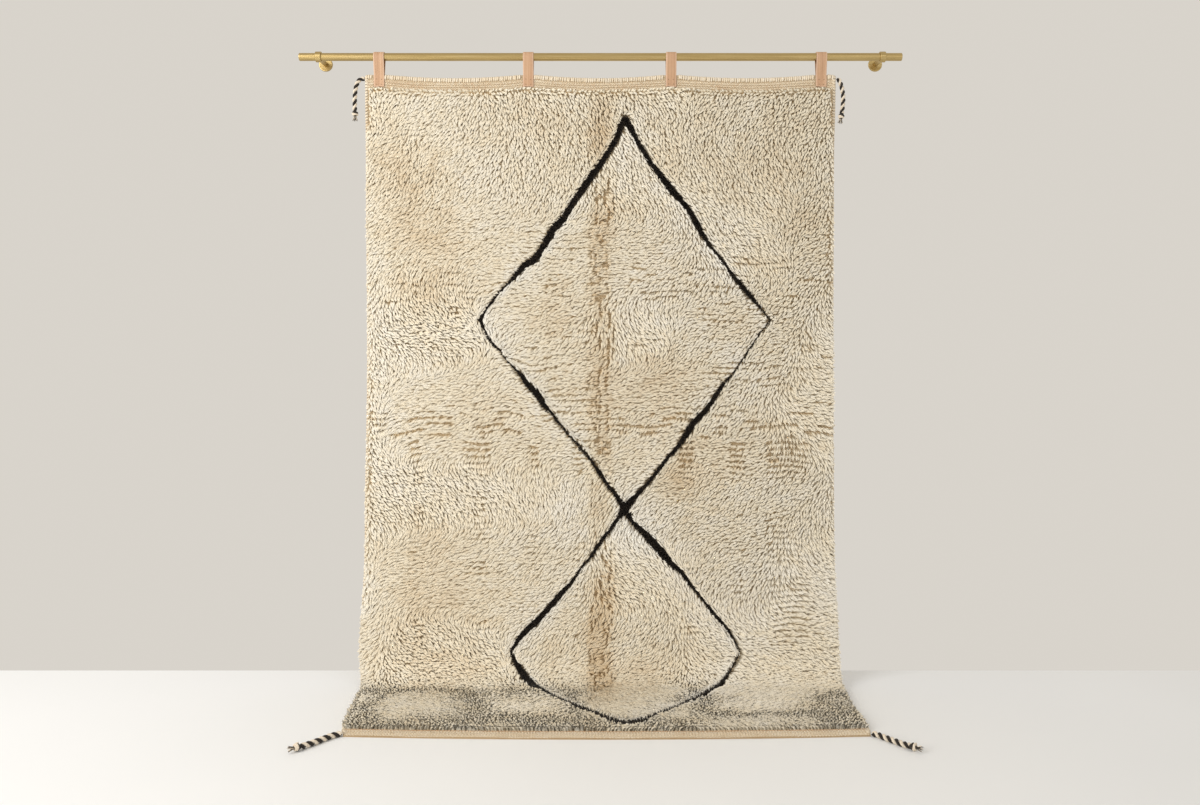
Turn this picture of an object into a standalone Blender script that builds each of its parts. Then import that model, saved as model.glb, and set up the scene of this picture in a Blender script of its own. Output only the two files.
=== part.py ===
"""A cream wool rug with a black lozenge, hung by four leather tabs from a brass wall rod.

The pieces are placed in a room frame: x runs from the middle of the rug, y from the wall face, with
the viewer at -y, and z from the floor. One parent empty then shifts the whole object, so that the
world origin is the centre of the left wall plate's back face. All sizes are in metres.
"""

import math

import bmesh
import bpy
from mathutils import Matrix, Vector

# ---- rod and its brackets ---------------------------------------------------------------------------
GAP = 0.0003                        # air between two neighbouring pieces
ROD_LENGTH = 1.955
ROD_RADIUS = 0.0125
ROD_HEIGHT = 2.02                   # rod axis above the floor
ROD_STANDOFF = 0.085                # rod axis in front of the wall face
ROD_CHAMFER = 0.0012
BRACKET_X = 0.915                   # bracket centres, left and right of the middle
COLLAR_WIDTH = 0.018
COLLAR_RADIUS = 0.017
POST_RADIUS = 0.008
PLATE_RADIUS = 0.023
PLATE_THICKNESS = 0.008
PLATE_ROUNDING = 0.0025
ROUND_SIDES = 32

# ---- leather tabs -----------------------------------------------------------------------------------
TAB_CENTRES = (-0.718, -0.234, 0.229, 0.716)
TAB_WIDTH = 0.034
LEATHER = 0.003
TAB_OVERLAP = 0.040                 # how far each leaf reaches down over the heading
TAB_EDGE_ROUNDING = 0.0007
TAB_ARC_STEPS = 12

# ---- rug --------------------------------------------------------------------------------------------
RUG_LENGTH = 2.38                   # along the middle of the cloth
RUG_TOP = 1.962                     # top edge at a tab
FOOT_BOW = 0.022                    # how much shorter the cloth is along its two sides
GROUND = 0.005                      # woven ground with its knots
PILE = 0.022
HEADING = 0.043                     # flat-woven strip above the pile
FOOT_BAND = 0.043                   # flat-woven strip below the pile
PILE_ROUNDING = 0.018               # the pile's shoulder at every edge
LEAN = math.radians(12.0)           # slope at the end of the slow forward curve
LEAN_RADIUS = 1.6                   # slow curve, from plumb to the lean
BEND_RADIUS = 0.11                  # quick curve, from the lean to the floor
SCALLOP = 0.013                     # sag of the top edge between two tabs
SCALLOP_REACH = 0.16
CORNER_DROOP = 0.3                  # share of the scallop that the two top corners sag
CORNER_REACH = 0.05
BELLY = 0.004                       # soft waves that hang from the tabs
BELLY_SPACING = 0.484
BELLY_PHASE = 0.6
BELLY_REACH = 0.55
SETTLING = 0.12                     # distance below the heading over which folds and waves begin
FOLD_DEPTH = 0.005                  # valley along the middle, top to bottom
FOLD_HALF_WIDTH = 0.022
LAST_QUARTER = 0.75                 # share of the hanging cloth below which waves and folds fade
CROSS_FOLD = 0.003                  # shallow trough across the middle
CROSS_FOLD_HALF_WIDTH = 0.030
FIELD_COLUMNS = 11                  # mesh columns on each side of the middle fold

# distance down the cloth, then how far its left and right sides lie from the middle
SIDES = (
    {"down": 0.00, "left": 0.763, "right": 0.762},
    {"down": 0.30, "left": 0.760, "right": 0.756},
    {"down": 0.90, "left": 0.756, "right": 0.754},
    {"down": 1.50, "left": 0.764, "right": 0.757},
    {"down": 1.85, "left": 0.774, "right": 0.765},
    {"down": 2.02, "left": 0.750, "right": 0.760},
    {"down": 2.16, "left": 0.742, "right": 0.752},
    {"down": 2.28, "left": 0.733, "right": 0.753},
    {"down": 2.33, "left": 0.722, "right": 0.751},
    {"down": 2.38, "left": 0.708, "right": 0.743},
)

# ---- corner ties ------------------------------------------------------------------------------------
TIE_RADIUS = {"top": 0.007, "bottom": 0.008}
TIE_POINT_SPACING = 0.013
TIE_ROUTES = {
    "top_left": (
        (-0.7672, -0.0850, 1.9480),
        (-0.7750, -0.0855, 1.9490),
        (-0.7850, -0.0870, 1.9415),
        (-0.7920, -0.0885, 1.9250),
        (-0.7955, -0.0900, 1.9010),
        (-0.7962, -0.0910, 1.8720),
        (-0.7955, -0.0920, 1.8440),
    ),
    "top_right": (
        (0.7680, -0.0850, 1.9480),
        (0.7740, -0.0860, 1.9445),
        (0.7800, -0.0870, 1.9310),
        (0.7845, -0.0885, 1.9120),
        (0.7868, -0.0900, 1.8910),
        (0.7862, -0.0910, 1.8700),
        (0.7840, -0.0915, 1.8500),
        (0.7815, -0.0920, 1.8350),
    ),
    "bottom_left": (
        (-0.7135, -0.5570, 0.0082),
        (-0.7258, -0.5625, 0.0082),
        (-0.7400, -0.5760, 0.0082),
        (-0.7560, -0.5965, 0.0082),
        (-0.7720, -0.6185, 0.0084),
        (-0.7870, -0.6375, 0.0092),
        (-0.7980, -0.6500, 0.0106),
    ),
    "bottom_right": (
        (0.7485, -0.5560, 0.0082),
        (0.7580, -0.5625, 0.0082),
        (0.7700, -0.5775, 0.0082),
        (0.7835, -0.5955, 0.0082),
        (0.7985, -0.6155, 0.0084),
        (0.8130, -0.6345, 0.0092),
        (0.8235, -0.6470, 0.0106),
    ),
}

# distance along the knot from the end of its tie, and the radius there
KNOT_PROFILE = (
    {"along": 0.000, "radius": 0.0060},
    {"along": 0.003, "radius": 0.0085},
    {"along": 0.008, "radius": 0.0098},
    {"along": 0.014, "radius": 0.0090},
    {"along": 0.018, "radius": 0.0055},
    {"along": 0.026, "radius": 0.0075},
    {"along": 0.034, "radius": 0.0085},
)
KNOT_SIDES = 12


# ---- scene, materials and placing -------------------------------------------------------------------
def clear_scene():
    """Empty the file of its starting objects."""
    for item in list(bpy.data.objects):
        bpy.data.objects.remove(item, do_unlink=True)


def make_material(name, colour, roughness, metallic=0.0):
    """A plain Principled material."""
    material = bpy.data.materials.new(name)
    material.use_nodes = True
    shader = material.node_tree.nodes["Principled BSDF"]
    shader.inputs["Base Color"].default_value = (*colour, 1.0)
    shader.inputs["Roughness"].default_value = roughness
    shader.inputs["Metallic"].default_value = metallic
    material.diffuse_color = (*colour, 1.0)
    return material


def add_object(name, data, material, parent):
    """Link mesh or curve data as a named object under the parent empty."""
    item = bpy.data.objects.new(name, data)
    bpy.context.scene.collection.objects.link(item)
    data.materials.append(material)
    item.parent = parent
    return item


def mesh_from(name, bm, smooth=True):
    """Turn a finished bmesh into mesh data whose faces point out."""
    bmesh.ops.recalc_face_normals(bm, faces=bm.faces)
    mesh = bpy.data.meshes.new(name)
    bm.to_mesh(mesh)
    bm.free()
    if smooth:
        mesh.shade_smooth()
        mesh.set_sharp_from_angle(angle=math.radians(35.0))
    return mesh


def cylinder_mesh(name, radius, start, end, rounding=0.0):
    """A cylinder between two points, with its rim rounded where asked."""
    axis = Vector(end) - Vector(start)
    turn = axis.to_track_quat("Z", "Y").to_matrix().to_4x4()
    place = Matrix.Translation((Vector(start) + Vector(end)) / 2.0) @ turn
    bm = bmesh.new()
    bmesh.ops.create_cone(bm, cap_ends=True, segments=ROUND_SIDES, radius1=radius, radius2=radius,
                          depth=axis.length, matrix=place)
    if rounding > 0.0:
        rims = [edge for edge in bm.edges if any(len(face.verts) > 4 for face in edge.link_faces)]
        bmesh.ops.bevel(bm, geom=rims, offset=rounding, segments=3, profile=0.5, affect="EDGES",
                        clamp_overlap=True)
    return mesh_from(name, bm)


# ---- rod and brackets -------------------------------------------------------------------------------
def add_rod(brass, parent):
    """The straight brass rod that the tabs hang on."""
    half = ROD_LENGTH / 2.0
    start = (-half, -ROD_STANDOFF, ROD_HEIGHT)
    end = (half, -ROD_STANDOFF, ROD_HEIGHT)
    add_object("rod", cylinder_mesh("rod", ROD_RADIUS, start, end, ROD_CHAMFER), brass, parent)


def collar_mesh(name, centre_x):
    """A ring round the rod, open through its bore."""
    bm = bmesh.new()
    inner = ROD_RADIUS + GAP
    half = COLLAR_WIDTH / 2.0
    softened = 0.0008
    section = (
        (inner, -half),
        (COLLAR_RADIUS - softened, -half),
        (COLLAR_RADIUS, softened - half),
        (COLLAR_RADIUS, half - softened),
        (COLLAR_RADIUS - softened, half),
        (inner, half),
    )
    rings = []
    for step in range(ROUND_SIDES):
        turn = 2.0 * math.pi * step / ROUND_SIDES
        ring = []
        for radius, along in section:
            y = -ROD_STANDOFF + radius * math.cos(turn)
            z = ROD_HEIGHT + radius * math.sin(turn)
            ring.append(bm.verts.new((centre_x + along, y, z)))
        rings.append(ring)
    count = len(section)
    for step in range(ROUND_SIDES):
        here = rings[step]
        there = rings[(step + 1) % ROUND_SIDES]
        for index in range(count):
            follow = (index + 1) % count
            bm.faces.new((here[index], here[follow], there[follow], there[index]))
    return mesh_from(name, bm)


def add_bracket(side, centre_x, brass, parent):
    """Collar and post as one solid, and the round plate that is screwed to the wall."""
    bracket = add_object("bracket_" + side, collar_mesh("bracket_" + side, centre_x), brass, parent)
    root_depth = ROD_STANDOFF - (ROD_RADIUS + GAP + COLLAR_RADIUS) / 2.0 + 0.0008
    post_start = (centre_x, -root_depth, ROD_HEIGHT)
    post_end = (centre_x, -PLATE_THICKNESS - GAP, ROD_HEIGHT)
    post = add_object("cutter_post_" + side,
                      cylinder_mesh("post_" + side, POST_RADIUS, post_start, post_end), brass, parent)
    post.hide_render = True
    post.display_type = "WIRE"
    union = bracket.modifiers.new("post", "BOOLEAN")
    union.operation = "UNION"
    union.solver = "EXACT"
    union.object = post
    plate = cylinder_mesh("wall_plate_" + side, PLATE_RADIUS, (centre_x, 0.0, ROD_HEIGHT),
                          (centre_x, -PLATE_THICKNESS, ROD_HEIGHT), PLATE_ROUNDING)
    add_object("wall_plate_" + side, plate, brass, parent)


# ---- leather tabs -----------------------------------------------------------------------------------
def tab_midline():
    """Side view of one tab's mid-leather line: up the front leaf, over the rod, down the back."""
    wrap = ROD_RADIUS + GAP + LEATHER / 2.0
    leaf = GROUND / 2.0 + GAP + LEATHER / 2.0
    foot = RUG_TOP - TAB_OVERLAP
    shoulder = RUG_TOP + 0.003
    drop = ROD_HEIGHT - shoulder
    reach = math.hypot(drop, leaf)
    tilt = math.asin(wrap / reach) - math.atan2(leaf, drop)
    front = [(-leaf, foot), (-leaf, (foot + shoulder) / 2.0), (-leaf, shoulder)]
    for step in range(TAB_ARC_STEPS + 1):
        angle = math.pi + tilt - (math.pi + 2.0 * tilt) * step / TAB_ARC_STEPS
        front.append((wrap * math.cos(angle), ROD_HEIGHT + wrap * math.sin(angle)))
    back = [(leaf, shoulder), (leaf, (foot + shoulder) / 2.0), (leaf, foot)]
    return [(y - ROD_STANDOFF, z) for y, z in front + back]


def add_tab(index, centre_x, leather, parent):
    """One leather strap folded over the rod, its two leaves on either side of the heading."""
    line = tab_midline()
    outer = []
    inner = []
    for place, (y, z) in enumerate(line):
        before = Vector(line[max(place - 1, 0)])
        after = Vector(line[min(place + 1, len(line) - 1)])
        along = (after - before).normalized()
        side = Vector((-along.y, along.x)) * (LEATHER / 2.0)
        outer.append((y + side.x, z + side.y))
        inner.append((y - side.x, z - side.y))
    outline = outer + inner[::-1]
    bm = bmesh.new()
    left = [bm.verts.new((centre_x - TAB_WIDTH / 2.0, y, z)) for y, z in outline]
    right = [bm.verts.new((centre_x + TAB_WIDTH / 2.0, y, z)) for y, z in outline]
    count = len(outline)
    for place in range(count):
        follow = (place + 1) % count
        bm.faces.new((left[place], left[follow], right[follow], right[place]))
    for place in range(len(line) - 1):
        mirror = count - 1 - place
        bm.faces.new((left[place], left[mirror], left[mirror - 1], left[place + 1]))
        bm.faces.new((right[place], right[place + 1], right[mirror - 1], right[mirror]))
    tab = add_object(f"tab_{index}", mesh_from(f"tab_{index}", bm), leather, parent)
    soften = tab.modifiers.new("worn edges", "BEVEL")
    soften.width = TAB_EDGE_ROUNDING
    soften.segments = 1
    soften.limit_method = "ANGLE"
    soften.angle_limit = math.radians(60.0)


# ---- rug --------------------------------------------------------------------------------------------
def ease(value):
    """A smooth step from 0 to 1."""
    value = min(max(value, 0.0), 1.0)
    return value * value * (3.0 - 2.0 * value)


def side_distance(down, column):
    """How far the left or right side lies from the middle, at a distance down the cloth."""
    for above, below in zip(SIDES, SIDES[1:]):
        if down <= below["down"]:
            share = ease((down - above["down"]) / (below["down"] - above["down"]))
            return above[column] + share * (below[column] - above[column])
    return SIDES[-1][column]


def curve_lengths():
    """Cloth lengths at which the lean starts, the quick bend starts and the floor is reached."""
    rise = LEAN_RADIUS * math.sin(LEAN) + BEND_RADIUS * (1.0 - math.sin(LEAN))
    lean_start = RUG_TOP - rise
    bend_start = lean_start + LEAN_RADIUS * LEAN
    floor_start = bend_start + BEND_RADIUS * (math.pi / 2.0 - LEAN)
    return lean_start, bend_start, floor_start


def back_point(down):
    """Side view (y, z) of the cloth's back face, and the slope there: 0 is plumb, 90 degrees flat."""
    lean_start, bend_start, floor_start = curve_lengths()
    plane = GROUND / 2.0 - ROD_STANDOFF
    if down <= lean_start:
        return plane, RUG_TOP - down, 0.0
    lean_height = RUG_TOP - lean_start
    if down <= bend_start:
        angle = (down - lean_start) / LEAN_RADIUS
        y = plane - LEAN_RADIUS * (1.0 - math.cos(angle))
        return y, lean_height - LEAN_RADIUS * math.sin(angle), angle
    bend_y = plane - LEAN_RADIUS * (1.0 - math.cos(LEAN))
    if down <= floor_start:
        angle = LEAN + (down - bend_start) / BEND_RADIUS
        y = bend_y - BEND_RADIUS * (math.cos(LEAN) - math.cos(angle))
        return y, BEND_RADIUS * (1.0 - math.sin(angle)), angle
    y = bend_y - BEND_RADIUS * math.cos(LEAN) - (down - floor_start)
    return y, 0.0, math.pi / 2.0


def between_tabs(x):
    """0 at a tab and 1 halfway between two of them; the corners droop a little."""
    for left, right in zip(TAB_CENTRES, TAB_CENTRES[1:]):
        if left <= x <= right:
            share = (x - left) / (right - left)
            return 4.0 * share * (1.0 - share)
    beyond = max(TAB_CENTRES[0] - x, x - TAB_CENTRES[-1])
    return min(beyond / CORNER_REACH, 1.0) * CORNER_DROOP


def pile_height(inside):
    """Pile height at a distance inside the edge of the pile field."""
    if inside <= 0.0:
        return 0.0
    share = min(inside / PILE_ROUNDING, 1.0)
    return PILE * math.sqrt(1.0 - (1.0 - share) ** 2)


def rug_rows():
    """Distances down the cloth of the mesh rows, closer together at the shoulders and in the bend."""
    lean_start, bend_start, floor_start = curve_lengths()
    pile_end = RUG_LENGTH - FOOT_BAND
    rows = [0.0, HEADING / 3.0, 2.0 * HEADING / 3.0, HEADING]
    rows += [HEADING + PILE_ROUNDING * share for share in (0.12, 0.45, 1.0)]
    first = rows[-1]
    middle = RUG_LENGTH / 2.0
    fold = [middle + CROSS_FOLD_HALF_WIDTH * step for step in (-2.0, -1.0, 0.0, 1.0, 2.0)]
    rows += spaced(first, fold[0], 13)[1:-1] + fold
    rows += spaced(fold[-1], lean_start, 4)[1:-1]
    rows += spaced(lean_start, bend_start, 6)[:-1]
    rows += spaced(bend_start, floor_start, 9)[:-1]
    rows += spaced(floor_start, pile_end - PILE_ROUNDING, 5)
    rows += [pile_end - PILE_ROUNDING * share for share in (0.45, 0.12, 0.0)]
    rows += [pile_end + FOOT_BAND / 2.0, RUG_LENGTH]
    return rows


def spaced(start, end, spans):
    """Evenly spaced values, both ends included."""
    return [start + (end - start) * step / spans for step in range(spans + 1)]


def rug_columns(down):
    """Column positions across the cloth, and how far each lies inside the nearer side."""
    shoulder = [PILE_ROUNDING * share for share in (0.0, 0.12, 0.45)]
    left = -side_distance(down, "left")
    right = side_distance(down, "right")
    fold = [FOLD_HALF_WIDTH * step for step in (-2.0, -0.9, 0.0, 0.9, 2.0)]
    columns = [left + inset for inset in shoulder]
    columns += spaced(left + PILE_ROUNDING, fold[0], FIELD_COLUMNS)[:-1] + fold
    columns += spaced(fold[-1], right - PILE_ROUNDING, FIELD_COLUMNS)[1:]
    columns += [right - inset for inset in reversed(shoulder)]
    return [(x, min(x - left, right - x)) for x in columns]


def rug_point(x, inside, down):
    """The back and front points of the cloth at one column and row."""
    floor_start = curve_lengths()[2]
    shorter = FOOT_BOW * (x / SIDES[0]["right"]) ** 2
    stretch = max(down - floor_start, 0.0) / (RUG_LENGTH - floor_start)
    y, z, slope = back_point(down - shorter * stretch)
    hanging = 1.0 - ease((down / floor_start - LAST_QUARTER) / (1.0 - LAST_QUARTER))
    z -= SCALLOP * between_tabs(x) * math.exp(-down / SCALLOP_REACH) * hanging
    below_heading = ease((down - HEADING) / SETTLING)
    wave = math.sin(2.0 * math.pi * x / BELLY_SPACING + BELLY_PHASE) * below_heading
    shift = BELLY * wave * math.exp(-down / BELLY_REACH) * hanging
    fold = math.exp(-(x / FOLD_HALF_WIDTH) ** 2) * below_heading
    shift += FOLD_DEPTH * fold * hanging
    across = math.exp(-((down - RUG_LENGTH / 2.0) / CROSS_FOLD_HALF_WIDTH) ** 2)
    shift += CROSS_FOLD * across
    back = Vector((x, y + shift, z))
    field = min(down - HEADING, RUG_LENGTH - FOOT_BAND - down)
    thickness = GROUND + pile_height(min(inside, field))
    thickness -= (FOLD_DEPTH * fold * (1.0 - hanging)) * (thickness > GROUND)
    front = back + Vector((0.0, -math.cos(slope), math.sin(slope))) * thickness
    return back, front


def add_rug(wool, parent):
    """The rug as one solid: heading, pile field and foot band, hung, bent and laid on the floor."""
    bm = bmesh.new()
    backs = []
    fronts = []
    for down in rug_rows():
        pairs = [rug_point(x, inside, down) for x, inside in rug_columns(down)]
        backs.append([bm.verts.new(back) for back, _ in pairs])
        fronts.append([bm.verts.new(front) for _, front in pairs])
    last_row = len(backs) - 1
    last_column = len(backs[0]) - 1
    for row in range(last_row):
        for column in range(last_column):
            for grid in (backs, fronts):
                bm.faces.new((grid[row][column], grid[row + 1][column],
                              grid[row + 1][column + 1], grid[row][column + 1]))
    for row in range(last_row):
        for column in (0, last_column):
            bm.faces.new((backs[row][column], backs[row + 1][column],
                          fronts[row + 1][column], fronts[row][column]))
    for column in range(last_column):
        for row in (0, last_row):
            bm.faces.new((backs[row][column], backs[row][column + 1],
                          fronts[row][column + 1], fronts[row][column]))
    add_object("rug", mesh_from("rug", bm), wool, parent)


# ---- corner ties ------------------------------------------------------------------------------------
def smooth_route(points, steps=16):
    """A fine curve through the route's own points (Catmull-Rom)."""
    points = [Vector(point) for point in points]
    ends = [2.0 * points[0] - points[1]] + points + [2.0 * points[-1] - points[-2]]
    fine = []
    for before, start, end, after in zip(ends, ends[1:], ends[2:], ends[3:]):
        for step in range(steps):
            t = step / steps
            bend = (2.0 * before - 5.0 * start + 4.0 * end - after) * t * t
            twist = (3.0 * start - before - 3.0 * end + after) * t * t * t
            fine.append((2.0 * start + (end - before) * t + bend + twist) / 2.0)
    return fine + [points[-1]]


def evenly(points, spacing):
    """The same line with its points evenly spaced."""
    lengths = [0.0]
    for start, end in zip(points, points[1:]):
        lengths.append(lengths[-1] + (end - start).length)
    spans = max(2, round(lengths[-1] / spacing))
    result = [points[0]]
    place = 0
    for step in range(1, spans):
        wanted = lengths[-1] * step / spans
        while lengths[place + 1] < wanted:
            place += 1
        share = (wanted - lengths[place]) / (lengths[place + 1] - lengths[place])
        result.append(points[place].lerp(points[place + 1], share))
    return result + [points[-1]]


def add_tie(corner, route, yarn, parent):
    """One round tie of twisted yarn, as a tube along its route."""
    line = evenly(smooth_route(route), TIE_POINT_SPACING)
    curve = bpy.data.curves.new("tie_" + corner, "CURVE")
    curve.dimensions = "3D"
    curve.bevel_depth = TIE_RADIUS[corner.split("_")[0]]
    curve.bevel_resolution = 2
    curve.use_fill_caps = True
    spline = curve.splines.new("POLY")
    spline.points.add(len(line) - 1)
    for point, place in zip(spline.points, line):
        point.co = (*place, 1.0)
    add_object("tie_" + corner, curve, yarn, parent)
    return line[-1], (line[-1] - line[-2]).normalized()


def add_knot(corner, end, direction, yarn, parent):
    """The overhand knot that ends a tie, with its short brush of loose yarn."""
    bm = bmesh.new()
    turn = direction.to_track_quat("Z", "Y").to_matrix().to_4x4()
    place = Matrix.Translation(end + direction * GAP) @ turn
    rings = []
    for station in KNOT_PROFILE:
        ring = []
        for step in range(KNOT_SIDES):
            angle = 2.0 * math.pi * step / KNOT_SIDES
            point = Vector((math.cos(angle), math.sin(angle), 0.0)) * station["radius"]
            point.z = station["along"]
            ring.append(bm.verts.new(place @ point))
        rings.append(ring)
    for here, there in zip(rings, rings[1:]):
        for step in range(KNOT_SIDES):
            follow = (step + 1) % KNOT_SIDES
            bm.faces.new((here[step], here[follow], there[follow], there[step]))
    bm.faces.new(rings[0])
    bm.faces.new(rings[-1])
    add_object("knot_" + corner, mesh_from("knot_" + corner, bm), yarn, parent)


def main():
    clear_scene()
    origin = bpy.data.objects.new("object_frame", None)
    bpy.context.scene.collection.objects.link(origin)
    origin.location = (BRACKET_X, 0.0, -ROD_HEIGHT)

    brass = make_material("brushed_brass", (0.53, 0.40, 0.18), 0.35, 1.0)
    leather = make_material("tan_leather", (0.58, 0.36, 0.22), 0.6)
    wool = make_material("cream_wool", (0.72, 0.63, 0.46), 0.95)
    yarn = make_material("black_and_white_yarn", (0.08, 0.07, 0.06), 0.9)

    add_rod(brass, origin)
    for side, centre_x in (("left", -BRACKET_X), ("right", BRACKET_X)):
        add_bracket(side, centre_x, brass, origin)
    for index, centre_x in enumerate(TAB_CENTRES, start=1):
        add_tab(index, centre_x, leather, origin)
    add_rug(wool, origin)
    for corner, route in TIE_ROUTES.items():
        end, direction = add_tie(corner, route, yarn, origin)
        add_knot(corner, end, direction, yarn, origin)


main()
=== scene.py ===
import math

import bpy
import numpy as np
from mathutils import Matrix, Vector


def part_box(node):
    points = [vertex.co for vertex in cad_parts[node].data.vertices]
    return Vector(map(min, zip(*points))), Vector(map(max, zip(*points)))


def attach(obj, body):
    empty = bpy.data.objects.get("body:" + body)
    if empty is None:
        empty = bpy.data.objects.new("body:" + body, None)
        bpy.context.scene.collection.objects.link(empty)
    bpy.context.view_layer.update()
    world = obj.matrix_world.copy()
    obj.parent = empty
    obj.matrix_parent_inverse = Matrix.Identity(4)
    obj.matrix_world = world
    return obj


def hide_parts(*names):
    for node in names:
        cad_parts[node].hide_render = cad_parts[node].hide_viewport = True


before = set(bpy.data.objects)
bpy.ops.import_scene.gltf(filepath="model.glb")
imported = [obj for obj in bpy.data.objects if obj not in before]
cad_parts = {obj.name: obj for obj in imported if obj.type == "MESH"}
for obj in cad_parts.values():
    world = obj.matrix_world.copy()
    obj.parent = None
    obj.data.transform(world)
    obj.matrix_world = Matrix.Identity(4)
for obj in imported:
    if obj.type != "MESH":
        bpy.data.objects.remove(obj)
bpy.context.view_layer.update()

# ---- sizes shared with the CAD source, in metres ----
RUG_LENGTH = 2.38
RUG_TOP = 1.962                     # top edge above the floor, at a tab
FOOT_BOW = 0.022
GROUND = 0.005                      # woven ground
HEADING = 0.043                     # flat-woven strips above and below the pile
FOOT_BAND = 0.043
LEAN = math.radians(12.0)
LEAN_RADIUS = 1.6
BEND_RADIUS = 0.11
SCALLOP = 0.013
SCALLOP_REACH = 0.16
CORNER_DROOP = 0.3
CORNER_REACH = 0.05
BELLY = 0.004
BELLY_SPACING = 0.484
BELLY_PHASE = 0.6
BELLY_REACH = 0.55
SETTLING = 0.12
FOLD_DEPTH = 0.005
FOLD_HALF_WIDTH = 0.022
LAST_QUARTER = 0.75
CROSS_FOLD = 0.003
CROSS_FOLD_HALF_WIDTH = 0.030
ROD_RADIUS = 0.0125
ROD_HEIGHT = 2.02
ROD_STANDOFF = 0.085
GAP = 0.0003
TAB_CENTRES = (-0.718, -0.234, 0.229, 0.716)
TAB_WIDTH = 0.034
TAB_OVERLAP = 0.040
LEATHER = 0.003
SIDES = (
    {"down": 0.00, "left": 0.763, "right": 0.762},
    {"down": 0.30, "left": 0.760, "right": 0.756},
    {"down": 0.90, "left": 0.756, "right": 0.754},
    {"down": 1.50, "left": 0.764, "right": 0.757},
    {"down": 1.85, "left": 0.774, "right": 0.765},
    {"down": 2.02, "left": 0.750, "right": 0.760},
    {"down": 2.16, "left": 0.742, "right": 0.752},
    {"down": 2.28, "left": 0.733, "right": 0.753},
    {"down": 2.33, "left": 0.722, "right": 0.751},
    {"down": 2.38, "left": 0.708, "right": 0.743},
)
TIE_RADIUS = {"top": 0.007, "bottom": 0.008}
TIE_ROUTES = {
    "top_left": (
        (-0.7672, -0.0850, 1.9480),
        (-0.7750, -0.0855, 1.9490),
        (-0.7850, -0.0870, 1.9415),
        (-0.7920, -0.0885, 1.9250),
        (-0.7955, -0.0900, 1.9010),
        (-0.7962, -0.0910, 1.8720),
        (-0.7955, -0.0920, 1.8440),
    ),
    "top_right": (
        (0.7680, -0.0850, 1.9480),
        (0.7740, -0.0860, 1.9445),
        (0.7800, -0.0870, 1.9310),
        (0.7845, -0.0885, 1.9120),
        (0.7868, -0.0900, 1.8910),
        (0.7862, -0.0910, 1.8700),
        (0.7840, -0.0915, 1.8500),
        (0.7815, -0.0920, 1.8350),
    ),
    "bottom_left": (
        (-0.7135, -0.5570, 0.0082),
        (-0.7258, -0.5625, 0.0082),
        (-0.7400, -0.5760, 0.0082),
        (-0.7560, -0.5965, 0.0082),
        (-0.7720, -0.6185, 0.0084),
        (-0.7870, -0.6375, 0.0092),
        (-0.7980, -0.6500, 0.0106),
    ),
    "bottom_right": (
        (0.7485, -0.5560, 0.0082),
        (0.7580, -0.5625, 0.0082),
        (0.7700, -0.5775, 0.0082),
        (0.7835, -0.5955, 0.0082),
        (0.7985, -0.6155, 0.0084),
        (0.8130, -0.6345, 0.0092),
        (0.8235, -0.6470, 0.0106),
    ),
}

# The rug's middle, the wall face and the floor, from the frame: room coordinates are measured from here.
ROD_LOW, ROD_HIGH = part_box("rod")
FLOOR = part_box("rug")[0].z
ROOM = np.array(((ROD_LOW.x + ROD_HIGH.x) / 2.0, 0.0, FLOOR))

# ---- camera ----
EYE = (-0.0016, -3.17, 1.036)       # from the rug's middle, the wall face and the floor
view_data = bpy.data.cameras.new("camera")
view_data.lens = 28.5
view_data.sensor_width = 36.0
view_data.shift_y = -0.0354
camera = bpy.data.objects.new("camera", view_data)
camera.location = tuple(ROOM + np.array(EYE))
camera.rotation_euler = (math.radians(90.0), 0.0, 0.0)
bpy.context.scene.collection.objects.link(camera)
bpy.context.scene.camera = camera


# ---- meshes ----
def piece_from(name, points, blocks, material, slot, normals=None, **marks):
    """A piece riding on the one body, from points, blocks of equal faces and colour-like marks."""
    points = np.asarray(points, np.float32).reshape(-1, 3) + ROOM.astype(np.float32)
    loops = np.concatenate([np.asarray(block).ravel() for block in blocks]).astype(np.int32)
    sizes = np.concatenate([np.full(len(block), np.asarray(block).shape[1]) for block in blocks])
    mesh = bpy.data.meshes.new(name)
    mesh.vertices.add(len(points))
    mesh.vertices.foreach_set("co", points.ravel())
    mesh.loops.add(len(loops))
    mesh.loops.foreach_set("vertex_index", loops)
    mesh.polygons.add(len(sizes))
    mesh.polygons.foreach_set("loop_start", (np.cumsum(sizes) - sizes).astype(np.int32))
    mesh.update(calc_edges=True)
    mesh.shade_smooth()
    for label, values in marks.items():
        values = np.asarray(values, np.float32).reshape(len(points), 3)
        full = np.concatenate([values, np.ones((len(points), 1), np.float32)], axis=1)
        mark = mesh.attributes.new(label, "FLOAT_COLOR", "POINT")
        mark.data.foreach_set("color", full.ravel())
    if normals is not None:
        normals = np.asarray(normals, np.float32).reshape(-1, 3)
        normals /= np.maximum(np.linalg.norm(normals, axis=1, keepdims=True), 1e-9)
        mark = mesh.attributes.new("custom_normal", "FLOAT_VECTOR", "POINT")
        mark.data.foreach_set("vector", normals.ravel())
        mesh.update()
    mesh.materials.append(material)
    item = bpy.data.objects.new(name, mesh)
    bpy.context.scene.collection.objects.link(item)
    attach(item, "root")
    return item


def unit(vectors):
    return vectors / np.maximum(np.linalg.norm(vectors, axis=-1, keepdims=True), 1e-9)


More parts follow.
